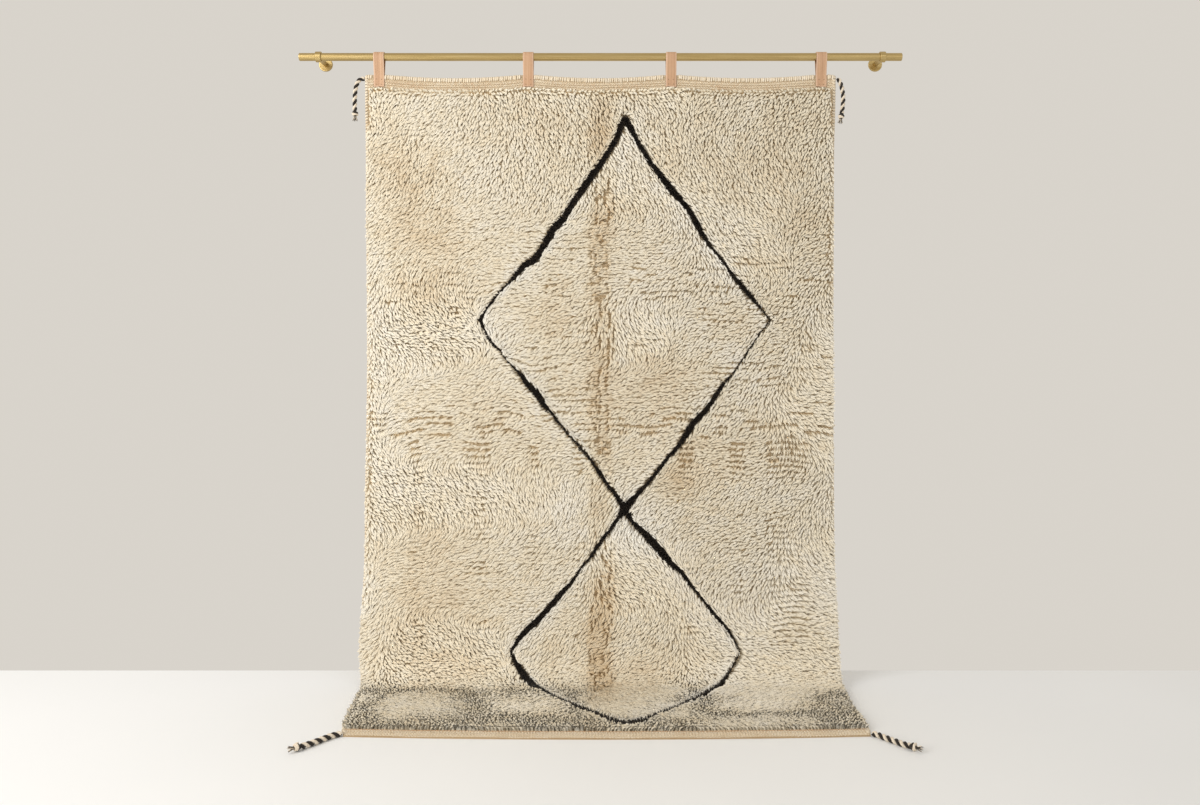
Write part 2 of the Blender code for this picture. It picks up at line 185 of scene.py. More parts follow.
def strands(centres, across, up, sides, sharp_start=False, sharp_end=True):
    """Many closed strands at once: their points, face blocks, and each point's outward direction.

    centres, across and up are (strands, sections, 3); across and up are half axes, turning to the
    strand's own direction. A sharp end is one point, any other is closed with a flat face.
    """
    count, sections = centres.shape[:2]
    turn = math.pi / 2.0 + 2.0 * math.pi * np.arange(sides) / sides
    cosine, sine = np.cos(turn)[:, None], np.sin(turn)[:, None]
    points, outward, rows = [], [], []
    used = 0
    for place in range(sections):
        sharp = (place == 0 and sharp_start) or (place == sections - 1 and sharp_end)
        if sharp:
            points.append(centres[:, place:place + 1])
            outward.append(unit(up[:, place:place + 1]))
        else:
            side = across[:, place, None]
            top = up[:, place, None]
            points.append(centres[:, place, None] + side * cosine + top * sine)
            outward.append(unit(unit(side) * cosine + unit(top) * sine))
        size = 1 if sharp else sides
        rows.append(list(range(used, used + size)))
        used += size
    quads, triangles, caps = [], [], []
    for low, high in zip(rows, rows[1:]):
        for step in range(sides):
            follow = (step + 1) % sides
            if len(low) == 1:
                triangles.append((low[0], high[follow], high[step]))
            elif len(high) == 1:
                triangles.append((low[step], low[follow], high[0]))
            else:
                quads.append((low[step], low[follow], high[follow], high[step]))
    if not sharp_start:
        caps.append(tuple(reversed(rows[0])))
    if not sharp_end:
        caps.append(tuple(rows[-1]))
    start = (np.arange(count) * used)[:, None, None]
    blocks = [(start + np.array(faces)[None]).reshape(-1, len(faces[0]))
              for faces in (quads, triangles, caps) if faces]
    return np.concatenate(points, axis=1), blocks, np.concatenate(outward, axis=1)


def joined(parts):
    """Several (points, blocks, outward, ...) results as one; what follows the blocks is stacked."""
    shift = 0
    blocks = []
    for part in parts:
        blocks += [block + shift for block in part[1]]
        shift += part[0].reshape(-1, 3).shape[0]
    stacked = [np.concatenate([part[index].reshape(-1, 3) for part in parts])
               for index in range(len(parts[0])) if index != 1]
    return stacked[0], blocks, *stacked[1:]


# ---- soft random fields ----
def field(seed, cell_x, cell_down):
    """A smooth random field over the cloth, from 0 to 1, with cells of the given size."""
    wide = int(2.4 / cell_x) + 4
    tall = int(3.2 / cell_down) + 4
    lattice = np.random.default_rng(seed).random((tall, wide))

    def sample(x, down):
        u = (np.asarray(x) + 1.2) / cell_x
        v = (np.asarray(down) + 0.2) / cell_down
        column = np.clip(np.floor(u).astype(int), 0, wide - 2)
        row = np.clip(np.floor(v).astype(int), 0, tall - 2)
        s, t = ease(u - column), ease(v - row)
        above = lattice[row, column] * (1 - s) + lattice[row, column + 1] * s
        below = lattice[row + 1, column] * (1 - s) + lattice[row + 1, column + 1] * s
        return above * (1 - t) + below * t

    return sample


def ease(value):
    value = np.clip(value, 0.0, 1.0)
    return value * value * (3.0 - 2.0 * value)


# ---- the cloth in its hanging shape ----
RISE = LEAN_RADIUS * math.sin(LEAN) + BEND_RADIUS * (1.0 - math.sin(LEAN))
LEAN_START = RUG_TOP - RISE
BEND_START = LEAN_START + LEAN_RADIUS * LEAN
FLOOR_START = BEND_START + BEND_RADIUS * (math.pi / 2.0 - LEAN)
PLANE = GROUND / 2.0 - ROD_STANDOFF
PILE_END = RUG_LENGTH - FOOT_BAND


def side_distance(down, column):
    """How far the left or right side lies from the middle."""
    stops = np.array([row["down"] for row in SIDES])
    reach = np.array([row[column] for row in SIDES])
    place = np.clip(np.searchsorted(stops, down, side="right") - 1, 0, len(stops) - 2)
    share = ease((down - stops[place]) / (stops[place + 1] - stops[place]))
    return reach[place] + share * (reach[place + 1] - reach[place])


def inside_of(x, down):
    """Distance inside the nearer side edge."""
    return np.minimum(x + side_distance(down, "left"), side_distance(down, "right") - x)


def back_line(down):
    """Side view of the cloth's back face: y, z and the slope."""
    y = np.full_like(down, PLANE)
    z = RUG_TOP - down
    slope = np.zeros_like(down)
    part = (down > LEAN_START) & (down <= BEND_START)
    angle = (down[part] - LEAN_START) / LEAN_RADIUS
    y[part] = PLANE - LEAN_RADIUS * (1.0 - np.cos(angle))
    z[part] = RUG_TOP - LEAN_START - LEAN_RADIUS * np.sin(angle)
    slope[part] = angle
    bend_y = PLANE - LEAN_RADIUS * (1.0 - math.cos(LEAN))
    part = (down > BEND_START) & (down <= FLOOR_START)
    angle = LEAN + (down[part] - BEND_START) / BEND_RADIUS
    y[part] = bend_y - BEND_RADIUS * (math.cos(LEAN) - np.cos(angle))
    z[part] = BEND_RADIUS * (1.0 - np.sin(angle))
    slope[part] = angle
    part = down > FLOOR_START
    y[part] = bend_y - BEND_RADIUS * math.cos(LEAN) - (down[part] - FLOOR_START)
    z[part] = 0.0
    slope[part] = math.pi / 2.0
    return y, z, slope


def between_tabs(x):
    """0 at a tab and 1 halfway between two of them; the corners droop a little."""
    sag = np.clip(np.maximum(TAB_CENTRES[0] - x, x - TAB_CENTRES[-1]) / CORNER_REACH, 0.0, 1.0)
    sag = sag * CORNER_DROOP
    for left, right in zip(TAB_CENTRES, TAB_CENTRES[1:]):
        share = (x - left) / (right - left)
        sag = np.where((share >= 0.0) & (share <= 1.0), 4.0 * share * (1.0 - share), sag)
    return sag


def cloth(x, down, height):
    """Points at a height above the cloth's back face, the outward and the down-the-cloth direction."""
    x, down, height = np.broadcast_arrays(*(np.asarray(v, float) for v in (x, down, height)))
    shorter = FOOT_BOW * (x / SIDES[0]["right"]) ** 2
    stretch = np.maximum(down - FLOOR_START, 0.0) / (RUG_LENGTH - FLOOR_START)
    y, z, slope = back_line(down - shorter * stretch)
    hanging = 1.0 - ease((down / FLOOR_START - LAST_QUARTER) / (1.0 - LAST_QUARTER))
    z = z - SCALLOP * between_tabs(x) * np.exp(-down / SCALLOP_REACH) * hanging
    below_heading = ease((down - HEADING) / SETTLING)
    wave = np.sin(2.0 * math.pi * x / BELLY_SPACING + BELLY_PHASE) * below_heading
    shift = BELLY * wave * np.exp(-np.maximum(down, 0.0) / BELLY_REACH) * hanging
    fold = np.exp(-(x / FOLD_HALF_WIDTH) ** 2) * below_heading
    shift = shift + FOLD_DEPTH * fold * hanging
    shift = shift + CROSS_FOLD * np.exp(-((down - RUG_LENGTH / 2.0) / CROSS_FOLD_HALF_WIDTH) ** 2)
    out = np.stack([np.zeros_like(slope), -np.cos(slope), np.sin(slope)], axis=-1)
    run = np.stack([np.zeros_like(slope), -np.sin(slope), -np.cos(slope)], axis=-1)
    points = np.stack([x, y + shift, z], axis=-1) + out * height[..., None]
    return points, out, run


# ---- the drawn line of the two lozenges: across, down, and width in millimetres ----
LINE_STROKES = (
    ((0.080, 0.135, 20), (0.050, 0.210, 18), (0.000, 0.290, 18), (-0.050, 0.360, 23),
     (-0.090, 0.420, 17), (-0.120, 0.470, 24), (-0.150, 0.500, 23), (-0.180, 0.550, 20),
     (-0.210, 0.600, 23), (-0.245, 0.620, 21), (-0.280, 0.660, 13), (-0.300, 0.680, 8),
     (-0.330, 0.710, 5), (-0.360, 0.750, 8), (-0.390, 0.797, 11)),
    ((-0.390, 0.797, 11), (-0.360, 0.860, 7), (-0.320, 0.900, 4), (-0.300, 0.930, 2),
     (-0.280, 0.950, 6), (-0.260, 0.970, 12), (-0.230, 1.010, 19), (-0.200, 1.040, 22),
     (-0.180, 1.075, 15), (-0.155, 1.100, 9), (-0.135, 1.130, 5), (-0.100, 1.170, 5),
     (-0.065, 1.210, 7), (-0.030, 1.250, 8), (0.010, 1.310, 10), (0.055, 1.370, 13),
     (0.080, 1.405, 27)),
    ((0.080, 0.135, 20), (0.100, 0.175, 18), (0.120, 0.215, 13), (0.165, 0.290, 15),
     (0.200, 0.335, 19), (0.225, 0.370, 25), (0.260, 0.407, 17), (0.290, 0.445, 16),
     (0.312, 0.485, 21), (0.332, 0.523, 16), (0.360, 0.562, 10), (0.392, 0.600, 9),
     (0.420, 0.640, 11), (0.451, 0.678, 14), (0.483, 0.716, 15), (0.518, 0.755, 5),
     (0.549, 0.794, 4)),
    ((0.549, 0.794, 4), (0.535, 0.817, 3), (0.506, 0.855, 4), (0.481, 0.894, 4),
     (0.456, 0.932, 4), (0.425, 0.975, 3), (0.394, 1.010, 12), (0.370, 1.048, 17),
     (0.343, 1.087, 16), (0.304, 1.126, 22), (0.280, 1.165, 20), (0.256, 1.203, 14),
     (0.218, 1.242, 11), (0.189, 1.280, 12), (0.158, 1.320, 10), (0.122, 1.358, 14),
     (0.080, 1.405, 27)),
    ((0.080, 1.405, 27), (0.100, 1.445, 13), (0.135, 1.480, 18), (0.170, 1.515, 27),
     (0.200, 1.550, 27), (0.230, 1.585, 19), (0.260, 1.610, 12), (0.290, 1.650, 9),
     (0.330, 1.700, 8), (0.370, 1.750, 11), (0.405, 1.790, 11), (0.425, 1.820, 7),
     (0.447, 1.865, 4)),
    ((0.447, 1.865, 4), (0.430, 1.900, 4), (0.375, 1.995, 6), (0.350, 2.030, 5),
     (0.290, 2.110, 4), (0.210, 2.200, 5), (0.170, 2.235, 4), (0.130, 2.280, 6),
     (0.075, 2.310, 10)),
    ((0.080, 1.405, 27), (0.055, 1.440, 13), (0.024, 1.485, 12), (0.000, 1.515, 13),
     (-0.025, 1.555, 10), (-0.055, 1.590, 8), (-0.090, 1.640, 9), (-0.120, 1.675, 16),
     (-0.150, 1.710, 17), (-0.200, 1.765, 20), (-0.240, 1.800, 21), (-0.265, 1.830, 14),
     (-0.285, 1.862, 9)),
    ((-0.285, 1.862, 9), (-0.275, 1.890, 13), (-0.250, 1.935, 22), (-0.210, 2.000, 22),
     (-0.180, 2.040, 10), (-0.140, 2.100, 6), (-0.100, 2.140, 3), (-0.050, 2.200, 7),
     (-0.020, 2.220, 2), (0.030, 2.280, 4), (0.075, 2.310, 10)),
)
LINE_SEGMENTS = [(a, b) for stroke in LINE_STROKES for a, b in zip(stroke, stroke[1:])]


def near_line(x, down):
    """Distance to the edge of the black line (negative inside it) and the direction towards it."""
    edge = np.full(len(x), 9.0)
    toward = np.zeros((len(x), 2))
    for (ax, ad, aw), (bx, bd, bw) in LINE_SEGMENTS:
        ex, ed = bx - ax, bd - ad
        share = np.clip(((x - ax) * ex + (down - ad) * ed) / (ex * ex + ed * ed), 0.0, 1.0)
        to_x, to_down = ax + share * ex - x, ad + share * ed - down
        far = np.hypot(to_x, to_down)
        here = far - (aw + share * (bw - aw)) * 0.0005
        closer = here < edge
        edge = np.where(closer, here, edge)
        away = np.maximum(far, 1e-6)
        toward[closer, 0] = (to_x / away)[closer]
        toward[closer, 1] = (to_down / away)[closer]
    return edge, toward


def in_lozenge(x, down):
    """True inside either lozenge."""
    odd = np.zeros(len(x), bool)
    for (ax, ad, _), (bx, bd, _) in LINE_SEGMENTS:
        crosses = (ad > down) != (bd > down)
        cut = ax + (down - ad) / (bd - ad if bd != ad else 1e-9) * (bx - ax)
        odd ^= crosses & (x < cut)
    return odd


# ---- tone of the wool over the cloth ----
# across, down, reach across, reach down, and how much warmer (minus) or paler (plus) the wool is
TONE_PATCHES = (
    (-0.63, 0.33, 0.09, 0.10, -0.16),
    (-0.58, 0.50, 0.12, 0.08, -0.14),
    (-0.50, 0.62, 0.10, 0.10, -0.10),
    (-0.62, 0.70, 0.10, 0.05, -0.14),
    (-0.55, 1.62, 0.13, 0.16, -0.13),
    (-0.42, 1.93, 0.12, 0.08, -0.22),
    (0.25, 1.31, 0.06, 0.06, -0.26),
    (0.30, 1.22, 0.16, 0.05, -0.10),
    (-0.15, 0.80, 0.08, 0.08, -0.18),
    (0.19, 0.98, 0.09, 0.10, -0.15),
    (0.62, 0.30, 0.14, 0.25, -0.10),
    (0.14, 1.95, 0.12, 0.10, -0.16),
    (-0.14, 1.86, 0.08, 0.10, -0.16),
    # The next two narrow patches on the middle line are painted shade along the lengthwise fold, not a warmer
    # wool.
    (0.00, 1.85, 0.05, 0.22, -0.20),
    (0.00, 0.20, 0.05, 0.14, -0.20),
    (-0.12, 1.38, 0.07, 0.09, 0.26),
    (0.15, 1.46, 0.10, 0.08, 0.22),
    (0.05, 1.52, 0.09, 0.10, 0.20),
    (-0.70, 1.05, 0.07, 0.40, 0.12),
    (-0.30, 2.18, 0.20, 0.08, 0.14),
    (0.55, 1.60, 0.16, 0.20, 0.14),
    (0.45, 2.10, 0.25, 0.12, 0.10),
)
broad_tone = field(11, 0.21, 0.17)
mottle = field(12, 0.055, 0.040)
grain_tone = field(13, 0.020, 0.010)
highlight_breaks = field(14, 0.10, 0.12)


def tone_of(x, down):
    """0 is warm tan, 1 is ivory; it also carries painted shade along the middle fold and painted highlight
    beside the black line and along the side edges.
    """
    tone = 0.52 + 0.20 * (broad_tone(x, down) - 0.5) + 0.16 * (mottle(x, down) - 0.5)
    tone = tone + 0.12 * (grain_tone(x, down) - 0.5)
    for px, pd, rx, rd, amount in TONE_PATCHES:
        tone = tone + amount * np.exp(-((x - px) / rx) ** 2 - ((down - pd) / rd) ** 2)
    edge, _ = near_line(x, down)
    within = in_lozenge(x, down)
    # Painted highlight: the wool beside the black line is made paler for the raised pile there catching the
    # light. It is stronger inside the lozenges and broken up by a random field.
    raised_pile_highlight = np.exp(-np.maximum(edge, 0.0) / 0.045) * np.where(within, 0.34, 0.16)
    tone = tone + raised_pile_highlight * (0.5 + 0.8 * highlight_breaks(x, down))
    # Painted highlight: the wool is made paler along the side edges for the rounded edge of the pile catching
    # the light.
    tone = tone + 0.16 * np.exp(-np.maximum(inside_of(x, down), 0.0) / 0.03)
    # Painted shade: the wool is made darker in a band down the lengthwise fold in the middle, where the
    # crease lies in shade; less so near the foot.
    fold_shade = np.exp(-((x - 0.004) / 0.042) ** 4) * ease((down - 0.02) / 0.1)
    tone = tone - 0.20 * fold_shade * (1.0 - 0.5 * ease((down - 2.0) / 0.2))
    return np.clip(tone, 0.0, 1.0)


# ---- how the pile lies ----
lay_broad = field(21, 0.33, 0.26)
lay_fine = field(22, 0.085, 0.070)
parting_sway = field(23, 0.09, 0.05)
upright_gaps = field(24, 0.05, 0.024)
level_gaps = field(25, 0.055, 0.05)
level_rows_here = field(26, 0.16, 0.06)
COLUMN_PITCH = 0.0135
ROW_PITCH = 0.019


def lay_of(x, down):
    """Direction in which the pile leans, as (across, down)."""
    swing = np.radians(24.0 + 50.0 * ease((down - 0.32) / 0.25) - 18.0 * ease((down - 1.7) / 0.4))
    turn = swing * np.tanh(3.2 * (2.0 * lay_broad(x, down) - 1.0))
    turn = turn + np.radians(46.0) * (lay_fine(x, down) - 0.5)
    return np.stack([np.sin(turn), np.cos(turn)], axis=-1)


def partings(x, down):
    """Gaps that the folds open in the pile: how open, and the direction in which the wool falls away."""
    depth = ease((down - 0.27) / 0.15) * (1.0 - 0.75 * ease((down - 1.22) / 0.10))
    depth = depth + 0.85 * ease((down - 1.50) / 0.10)
    depth = np.minimum(depth, 1.0) * (1.0 - 0.9 * ease((down - 1.98) / 0.12))
    band = np.exp(-((x - 0.004) / 0.036) ** 4) * depth
    column = (x + 0.010 * (parting_sway(x * 0.0, down) - 0.5)) / COLUMN_PITCH
    nearest = np.round(column)
    aside = (column - nearest) * COLUMN_PITCH
    open_up = ease((upright_gaps(nearest * 0.05, down) - 0.47) / 0.16) * band
    close_up = np.exp(-(aside / 0.0042) ** 2) * open_up

    level = np.exp(-((down - 1.185) / 0.105) ** 4) * ease((np.abs(x) - 0.03) / 0.05)
    level = level * np.where(x < 0.0, 0.75, 1.0)
    faint = 0.35 * ease((down - 0.45) / 0.15) * (1.0 - ease((down - 1.75) / 0.2))
    level = np.maximum(level, faint * ease((level_rows_here(x, down) - 0.50) / 0.15))
    row = (down + 0.022 * (parting_sway(x, down * 0.0 + 1.0) - 0.5)) / ROW_PITCH
    nearest = np.round(row)
    below = (row - nearest) * ROW_PITCH
    open_level = ease((level_gaps(x, nearest * 0.05) - 0.52) / 0.14) * level
    close_level = np.exp(-(below / 0.0040) ** 2) * open_level

    fall = np.zeros(x.shape + (2,))
    fall[..., 0] = np.sign(aside) * np.exp(-np.abs(aside) / 0.006) * open_up
    fall[..., 1] = np.sign(below) * np.exp(-np.abs(below) / 0.007) * open_level
    return np.maximum(close_up, close_level), fall


def scattered(seed, pitch, jitter):
    """Evenly scattered places over the pile field."""
    rng = np.random.default_rng(seed)
    downs = np.arange(HEADING + 0.003, PILE_END - 0.002, pitch * 0.866)
    across = np.arange(-0.79, 0.79, pitch)
    x, down = np.meshgrid(across, downs)
    x = x + (np.arange(len(downs)) % 2)[:, None] * pitch / 2.0
    x = (x + rng.uniform(-jitter, jitter, x.shape)).ravel()
    down = (down + rng.uniform(-jitter, jitter, down.shape)).ravel()
    down = np.clip(down, HEADING + 0.002, PILE_END - 0.001)
    margin = 0.004 + 0.010 * (1.0 - ease((down - 0.12) / 0.10))
    keep = inside_of(x, down) > margin
    return x[keep], down[keep], rng


CLUMP_PITCH = 0.017


def clumps():
    """Places, leans and lengths of the clumps that neighbouring strands gather into."""
    rng = np.random.default_rng(31)
    rows = int(2.6 / CLUMP_PITCH)
    columns = int(1.8 / CLUMP_PITCH)
    place = rng.uniform(0.15, 0.85, (rows, columns, 2))
    return place, rng.uniform(-1.0, 1.0, (rows, columns)), rng.uniform(-1.0, 1.0, (rows, columns))


CLUMP_PLACE, CLUMP_TURN, CLUMP_TONE = clumps()


def clump_of(x, down):
    """The nearest clump: the way to its centre, and its own turn and tone."""
    u = (x + 0.9) / CLUMP_PITCH
    v = (down + 0.1) / CLUMP_PITCH
    best = np.full(len(x), 9.0)
    way = np.zeros((len(x), 2))
    turn, tone = np.zeros(len(x)), np.zeros(len(x))
    for row_step in (-1, 0, 1):
        for column_step in (-1, 0, 1):
            row = np.clip(np.floor(v).astype(int) + row_step, 0, CLUMP_TURN.shape[0] - 1)
            column = np.clip(np.floor(u).astype(int) + column_step, 0, CLUMP_TURN.shape[1] - 1)
            to_x = column + CLUMP_PLACE[row, column, 0] - u
            to_down = row + CLUMP_PLACE[row, column, 1] - v
            far = np.hypot(to_x, to_down)
            closer = far < best
            best = np.where(closer, far, best)
            way[closer] = np.stack([to_x, to_down], axis=-1)[closer] * CLUMP_PITCH
            turn[closer] = CLUMP_TURN[row, column][closer]
            tone[closer] = CLUMP_TONE[row, column][closer]
    return way, turn, tone


def lean_of(x, down, rng, gather, spread):
    """Lean of each strand across the cloth as (across, down), and how open the pile is there."""
    lean = lay_of(x, down)
    way, turn, clump_tone = clump_of(x, down)
    angle = np.radians(11.0) * turn + np.radians(spread) * rng.standard_normal(len(x))
    cosine, sine = np.cos(angle), np.sin(angle)
    lean = np.stack([lean[:, 0] * cosine - lean[:, 1] * sine,
                     lean[:, 0] * sine + lean[:, 1] * cosine], axis=-1)
    lean = lean + gather * way / CLUMP_PITCH
    gap, fall = partings(x, down)
    open_here = np.linalg.norm(fall, axis=1)[:, None]
    lean = lean * (1.0 - 0.75 * np.minimum(open_here, 1.0)) + 1.3 * fall
    edge, toward = near_line(x, down)
    facing = np.maximum((lean * toward).sum(axis=1), 0.0)
    guard = 1.0 - ease((edge - 0.004) / 0.022)
    lean = lean - toward * (facing * guard * 1.15)[:, None]
    inside = inside_of(x, down)
    side = np.sign(x) * (1.0 - ease(inside / 0.022))
    lean[:, 0] = lean[:, 0] * (1.0 - np.abs(side)) + side * 0.55
    low_edge = 1.0 - ease((PILE_END - down) / 0.02)
    lean[:, 1] = lean[:, 1] * (1.0 - 0.6 * low_edge)
    high_edge = 1.0 - ease((down - HEADING) / 0.02)
    lean[:, 1] = lean[:, 1] * (1.0 - high_edge) - 0.15 * high_edge
    return lean, gap, edge, clump_tone


STRAND_VALUES = ("x", "down", "lean", "length", "radius", "tone", "chance")
ROOT_DEPTH = 0.0015                 # how far a strand's root sits inside the ground
TUFT_FIRST_LEAN = 0.42              # a tuft's lean below its bend
TUFT_SECOND_RISE = 0.36             # how much it still rises above the bend
TUFT_LOWER, TUFT_UPPER = 0.52, 0.50     # shares of its length below and above the bend
BEND_WIDTH, TIP_WIDTH = 0.86, 0.1   # widths there, against the root's
HAIR_RISE, HAIR_LEAN = 0.9, 0.75


def wool_pile(name, low, high, kinds):
    """One band of the pile: bent tufts and finer straight hairs, leaning as the pile lies."""
    parts = []
    for kind in kinds:
        here = (kind["down"] >= low) & (kind["down"] < high)
        x, down, lean, length, radius, tone, chance = (kind[label][here] for label in STRAND_VALUES)
        base, out, run = cloth(x, down, GROUND - ROOT_DEPTH)
        across = np.array((1.0, 0.0, 0.0)) * lean[:, :1] + run * lean[:, 1:]
        side = unit(np.cross(out, unit(across + run * 1e-4)))
        if kind["bent"]:
            first = unit(out + across * TUFT_FIRST_LEAN)
            second = unit(out * TUFT_SECOND_RISE + across)
            middle = base + first * (length * TUFT_LOWER)[:, None]
            tip = middle + second * (length * TUFT_UPPER)[:, None]
            centres = np.stack([base, middle, tip], axis=1)
            ways = np.stack([first, unit(first + second), second], axis=1)
            radii = np.stack([radius, radius * BEND_WIDTH, radius * TIP_WIDTH], axis=1)
            along = np.array((0.0, 0.0, 0.0, 0.62, 0.62, 0.62, 1.0))
        else:
            way = unit(out * HAIR_RISE + across * HAIR_LEAN)
            tip = base + way * length[:, None]
            centres = np.stack([base, tip], axis=1)
            ways = np.stack([way, way], axis=1)
            radii = np.stack([radius, radius * TIP_WIDTH], axis=1)
            along = np.array((0.0, 0.0, 0.0, 1.0))
        sides = np.repeat(side[:, None], centres.shape[1], axis=1)
        tops = unit(np.cross(ways, sides))
        points, blocks, outward = strands(centres, sides * radii[..., None], tops * radii[..., None], 3)
        normals = 0.30 * outward + 0.20 * tops[:, -1:] + 0.75 * out[:, None]
        marks = np.stack(np.broadcast_arrays(tone[:, None], along[None, :], chance[:, None]), axis=-1)
        parts.append((points, blocks, normals, marks))
    points, blocks, normals, marks = joined(parts)
    return piece_from(name, points, blocks, WOOL, "cream_wool", normals=normals, tone=marks)


# ---- materials ----
class Nodes:
    """A small helper that builds one material's node tree."""

    def __init__(self, name, roughness, metallic=0.0, specular=0.5):
        self.material = bpy.data.materials.new(name)
        self.material.use_nodes = True
        self.tree = self.material.node_tree
        self.shader = self.tree.nodes["Principled BSDF"]
        self.set(self.shader, "Roughness", roughness)
        self.set(self.shader, "Metallic", metallic)
        self.set(self.shader, "Specular IOR Level", specular)

    def set(self, node, socket, value):
        """A number or colour on a socket, or a link into it."""
        if isinstance(value, bpy.types.NodeSocket):
            self.tree.links.new(value, node.inputs[socket])
        elif value is not None:
            node.inputs[socket].default_value = value
        return node

    def add(self, kind, **inputs):
        node = self.tree.nodes.new("ShaderNode" + kind)
        for socket, value in inputs.items():
            self.set(node, socket.replace("_", " "), value)
        return node

    def mark(self, label):
        node = self.tree.nodes.new("ShaderNodeAttribute")
        node.attribute_name = label
        return node

    def parts(self, colour):
        node = self.tree.nodes.new("ShaderNodeSeparateColor")
        self.tree.links.new(colour, node.inputs[0])
        return node.outputs

    def place(self, scale=(1.0, 1.0, 1.0)):
        node = self.tree.nodes.new("ShaderNodeTexCoord")
        turn = self.tree.nodes.new("ShaderNodeMapping")
        turn.inputs["Scale"].default_value = scale
        self.tree.links.new(node.outputs["Object"], turn.inputs["Vector"])
        return turn.outputs["Vector"]

    def noise(self, vector, scale, detail=3.0, roughness=0.5, distortion=0.0):
        node = self.add("TexNoise", Vector=vector, Scale=scale, Detail=detail, Roughness=roughness,
                        Distortion=distortion)
        return node.outputs["Fac"]

    def math(self, operation, first, second=None, clamp=False):
        node = self.tree.nodes.new("ShaderNodeMath")
        node.operation = operation
        node.use_clamp = clamp
        self.set(node, 0, first)
        self.set(node, 1, second)
        return node.outputs[0]

    def ramp(self, value, *stops):
        node = self.tree.nodes.new("ShaderNodeValToRGB")
        self.tree.links.new(value, node.inputs[0])
        points = node.color_ramp.elements
        while len(points) < len(stops):
            points.new(0.5)
        for point, (place, colour) in zip(points, stops):
            point.position = place
            point.color = (*colour, 1.0)
        return node.outputs[0]

    def mix(self, amount, first, second, blend="MIX"):
        node = self.tree.nodes.new("ShaderNodeMix")
        node.data_type = "RGBA"
        node.blend_type = blend
        for socket, value in ((0, amount), (6, first), (7, second)):
            if isinstance(value, tuple):
                value = (*value, 1.0)
            if isinstance(value, bpy.types.NodeSocket):
                self.tree.links.new(value, node.inputs[socket])
            else:
                node.inputs[socket].default_value = value
        return node.outputs[2]

    def bump(self, height, strength, distance, below=None):
        node = self.add("Bump", Height=height, Strength=strength, Distance=distance)
        if below is not None:
            self.tree.links.new(below, node.inputs["Normal"])
        return node.outputs[0]

    def done(self, colour, normal=None, roughness=None):
        self.set(self.shader, "Base Color", colour)
        if normal is not None:
            self.set(self.shader, "Normal", normal)
        if roughness is not None:
            self.set(self.shader, "Roughness", roughness)
        return self.material


TAN = (0.74, 0.58, 0.38)
CREAM = (0.93, 0.84, 0.67)
IVORY = (0.98, 0.95, 0.88)
BACK_ROW, BACK_KNOT = 0.0065, 0.0075    # spacing of the knots along and across the ground
BAND_REPEAT = 0.3175                # a band texture repeats about every BAND_REPEAT / its scale


def wool_material():
    """Cream pile: painted shade at the root, darker and warmer there than at the paler tip; toned from clump
    to clump.
    """
    m = Nodes("cream_wool_pile", 1.0, specular=0.03)
    tone, along, chance = m.parts(m.mark("tone").outputs["Color"])
    tone = m.math("ADD", tone, m.math("MULTIPLY", m.math("SUBTRACT", chance, 0.5), 0.16))
    fleck = m.noise(m.place(), 420.0, 2.0)
    tone = m.math("ADD", tone, m.math("MULTIPLY", m.math("SUBTRACT", fleck, 0.5), 0.18), clamp=True)
    colour = m.ramp(tone, (0.0, TAN), (0.5, CREAM), (1.0, IVORY))
    # Painted shade: the colour is multiplied darker and warmer towards each strand's root, for the shade down
    # between the tufts.
    root = m.ramp(along, (0.0, (0.84, 0.78, 0.68)), (0.55, (0.97, 0.96, 0.94)), (1.0, (1.0, 1.0, 1.0)))
    colour = m.mix(1.0, colour, root, "MULTIPLY")
    return m.done(colour, m.bump(fleck, 0.2, 0.0006))


def black_wool_material():
    """Undyed black wool of the line, a little brown where it is thin."""
    m = Nodes("black_wool_pile", 0.9, specular=0.2)
    _, _, chance = m.parts(m.mark("tone").outputs["Color"])
    colour = m.ramp(chance, (0.0, (0.008, 0.006, 0.005)), (0.7, (0.018, 0.014, 0.011)),
                    (1.0, (0.06, 0.045, 0.032)))
    fleck = m.noise(m.place(), 500.0, 2.0)
    colour = m.mix(m.math("MULTIPLY", fleck, 0.3), colour, (0.045, 0.034, 0.026))
    m.set(m.shader, "Sheen Weight", 0.1)
    m.set(m.shader, "Sheen Roughness", 0.5)
    return m.done(colour, m.bump(fleck, 0.4, 0.001))


def ground_material():
    """Woven ground: level rows of knots that show on the back, with painted shade, darker and tan, in the
    grooves between them.
    """
    m = Nodes("woven_ground", 0.92, specular=0.15)
    tone, black, _ = m.parts(m.mark("tone").outputs["Color"])
    cloth_place = m.mark("weave").outputs["Vector"]
    rows = m.add("TexWave", Vector=cloth_place, Scale=BAND_REPEAT / BACK_ROW, Distortion=0.6,
                 Detail=2.0, Detail_Scale=2.0)
    rows.wave_type, rows.bands_direction = "BANDS", "Y"
    knots = m.add("TexWave", Vector=cloth_place, Scale=BAND_REPEAT / BACK_KNOT, Distortion=0.9,
                  Detail=2.0, Detail_Scale=2.0)
    knots.wave_type, knots.bands_direction = "BANDS", "X"
    height = m.math("MULTIPLY", rows.outputs["Fac"], m.math("ADD", knots.outputs["Fac"], 0.45))
    fuzz = m.noise(m.place(), 600.0, 3.0)
    colour = m.ramp(tone, (0.0, (0.50, 0.37, 0.22)), (0.5, (0.70, 0.58, 0.41)), (1.0, (0.86, 0.79, 0.66)))
    # Painted shade: the colour is multiplied darker and tan where the knot pattern is low, for the shade in
    # the grooves.
    groove_shade = m.ramp(height, (0.0, (0.55, 0.46, 0.36)), (0.45, (1.0, 1.0, 1.0)))
    colour = m.mix(0.9, colour, groove_shade, "MULTIPLY")
    colour = m.mix(black, colour, (0.02, 0.016, 0.013))
    normal = m.bump(fuzz, 0.3, 0.0008)
    return m.done(colour, m.bump(height, 0.8, 0.0012, normal))


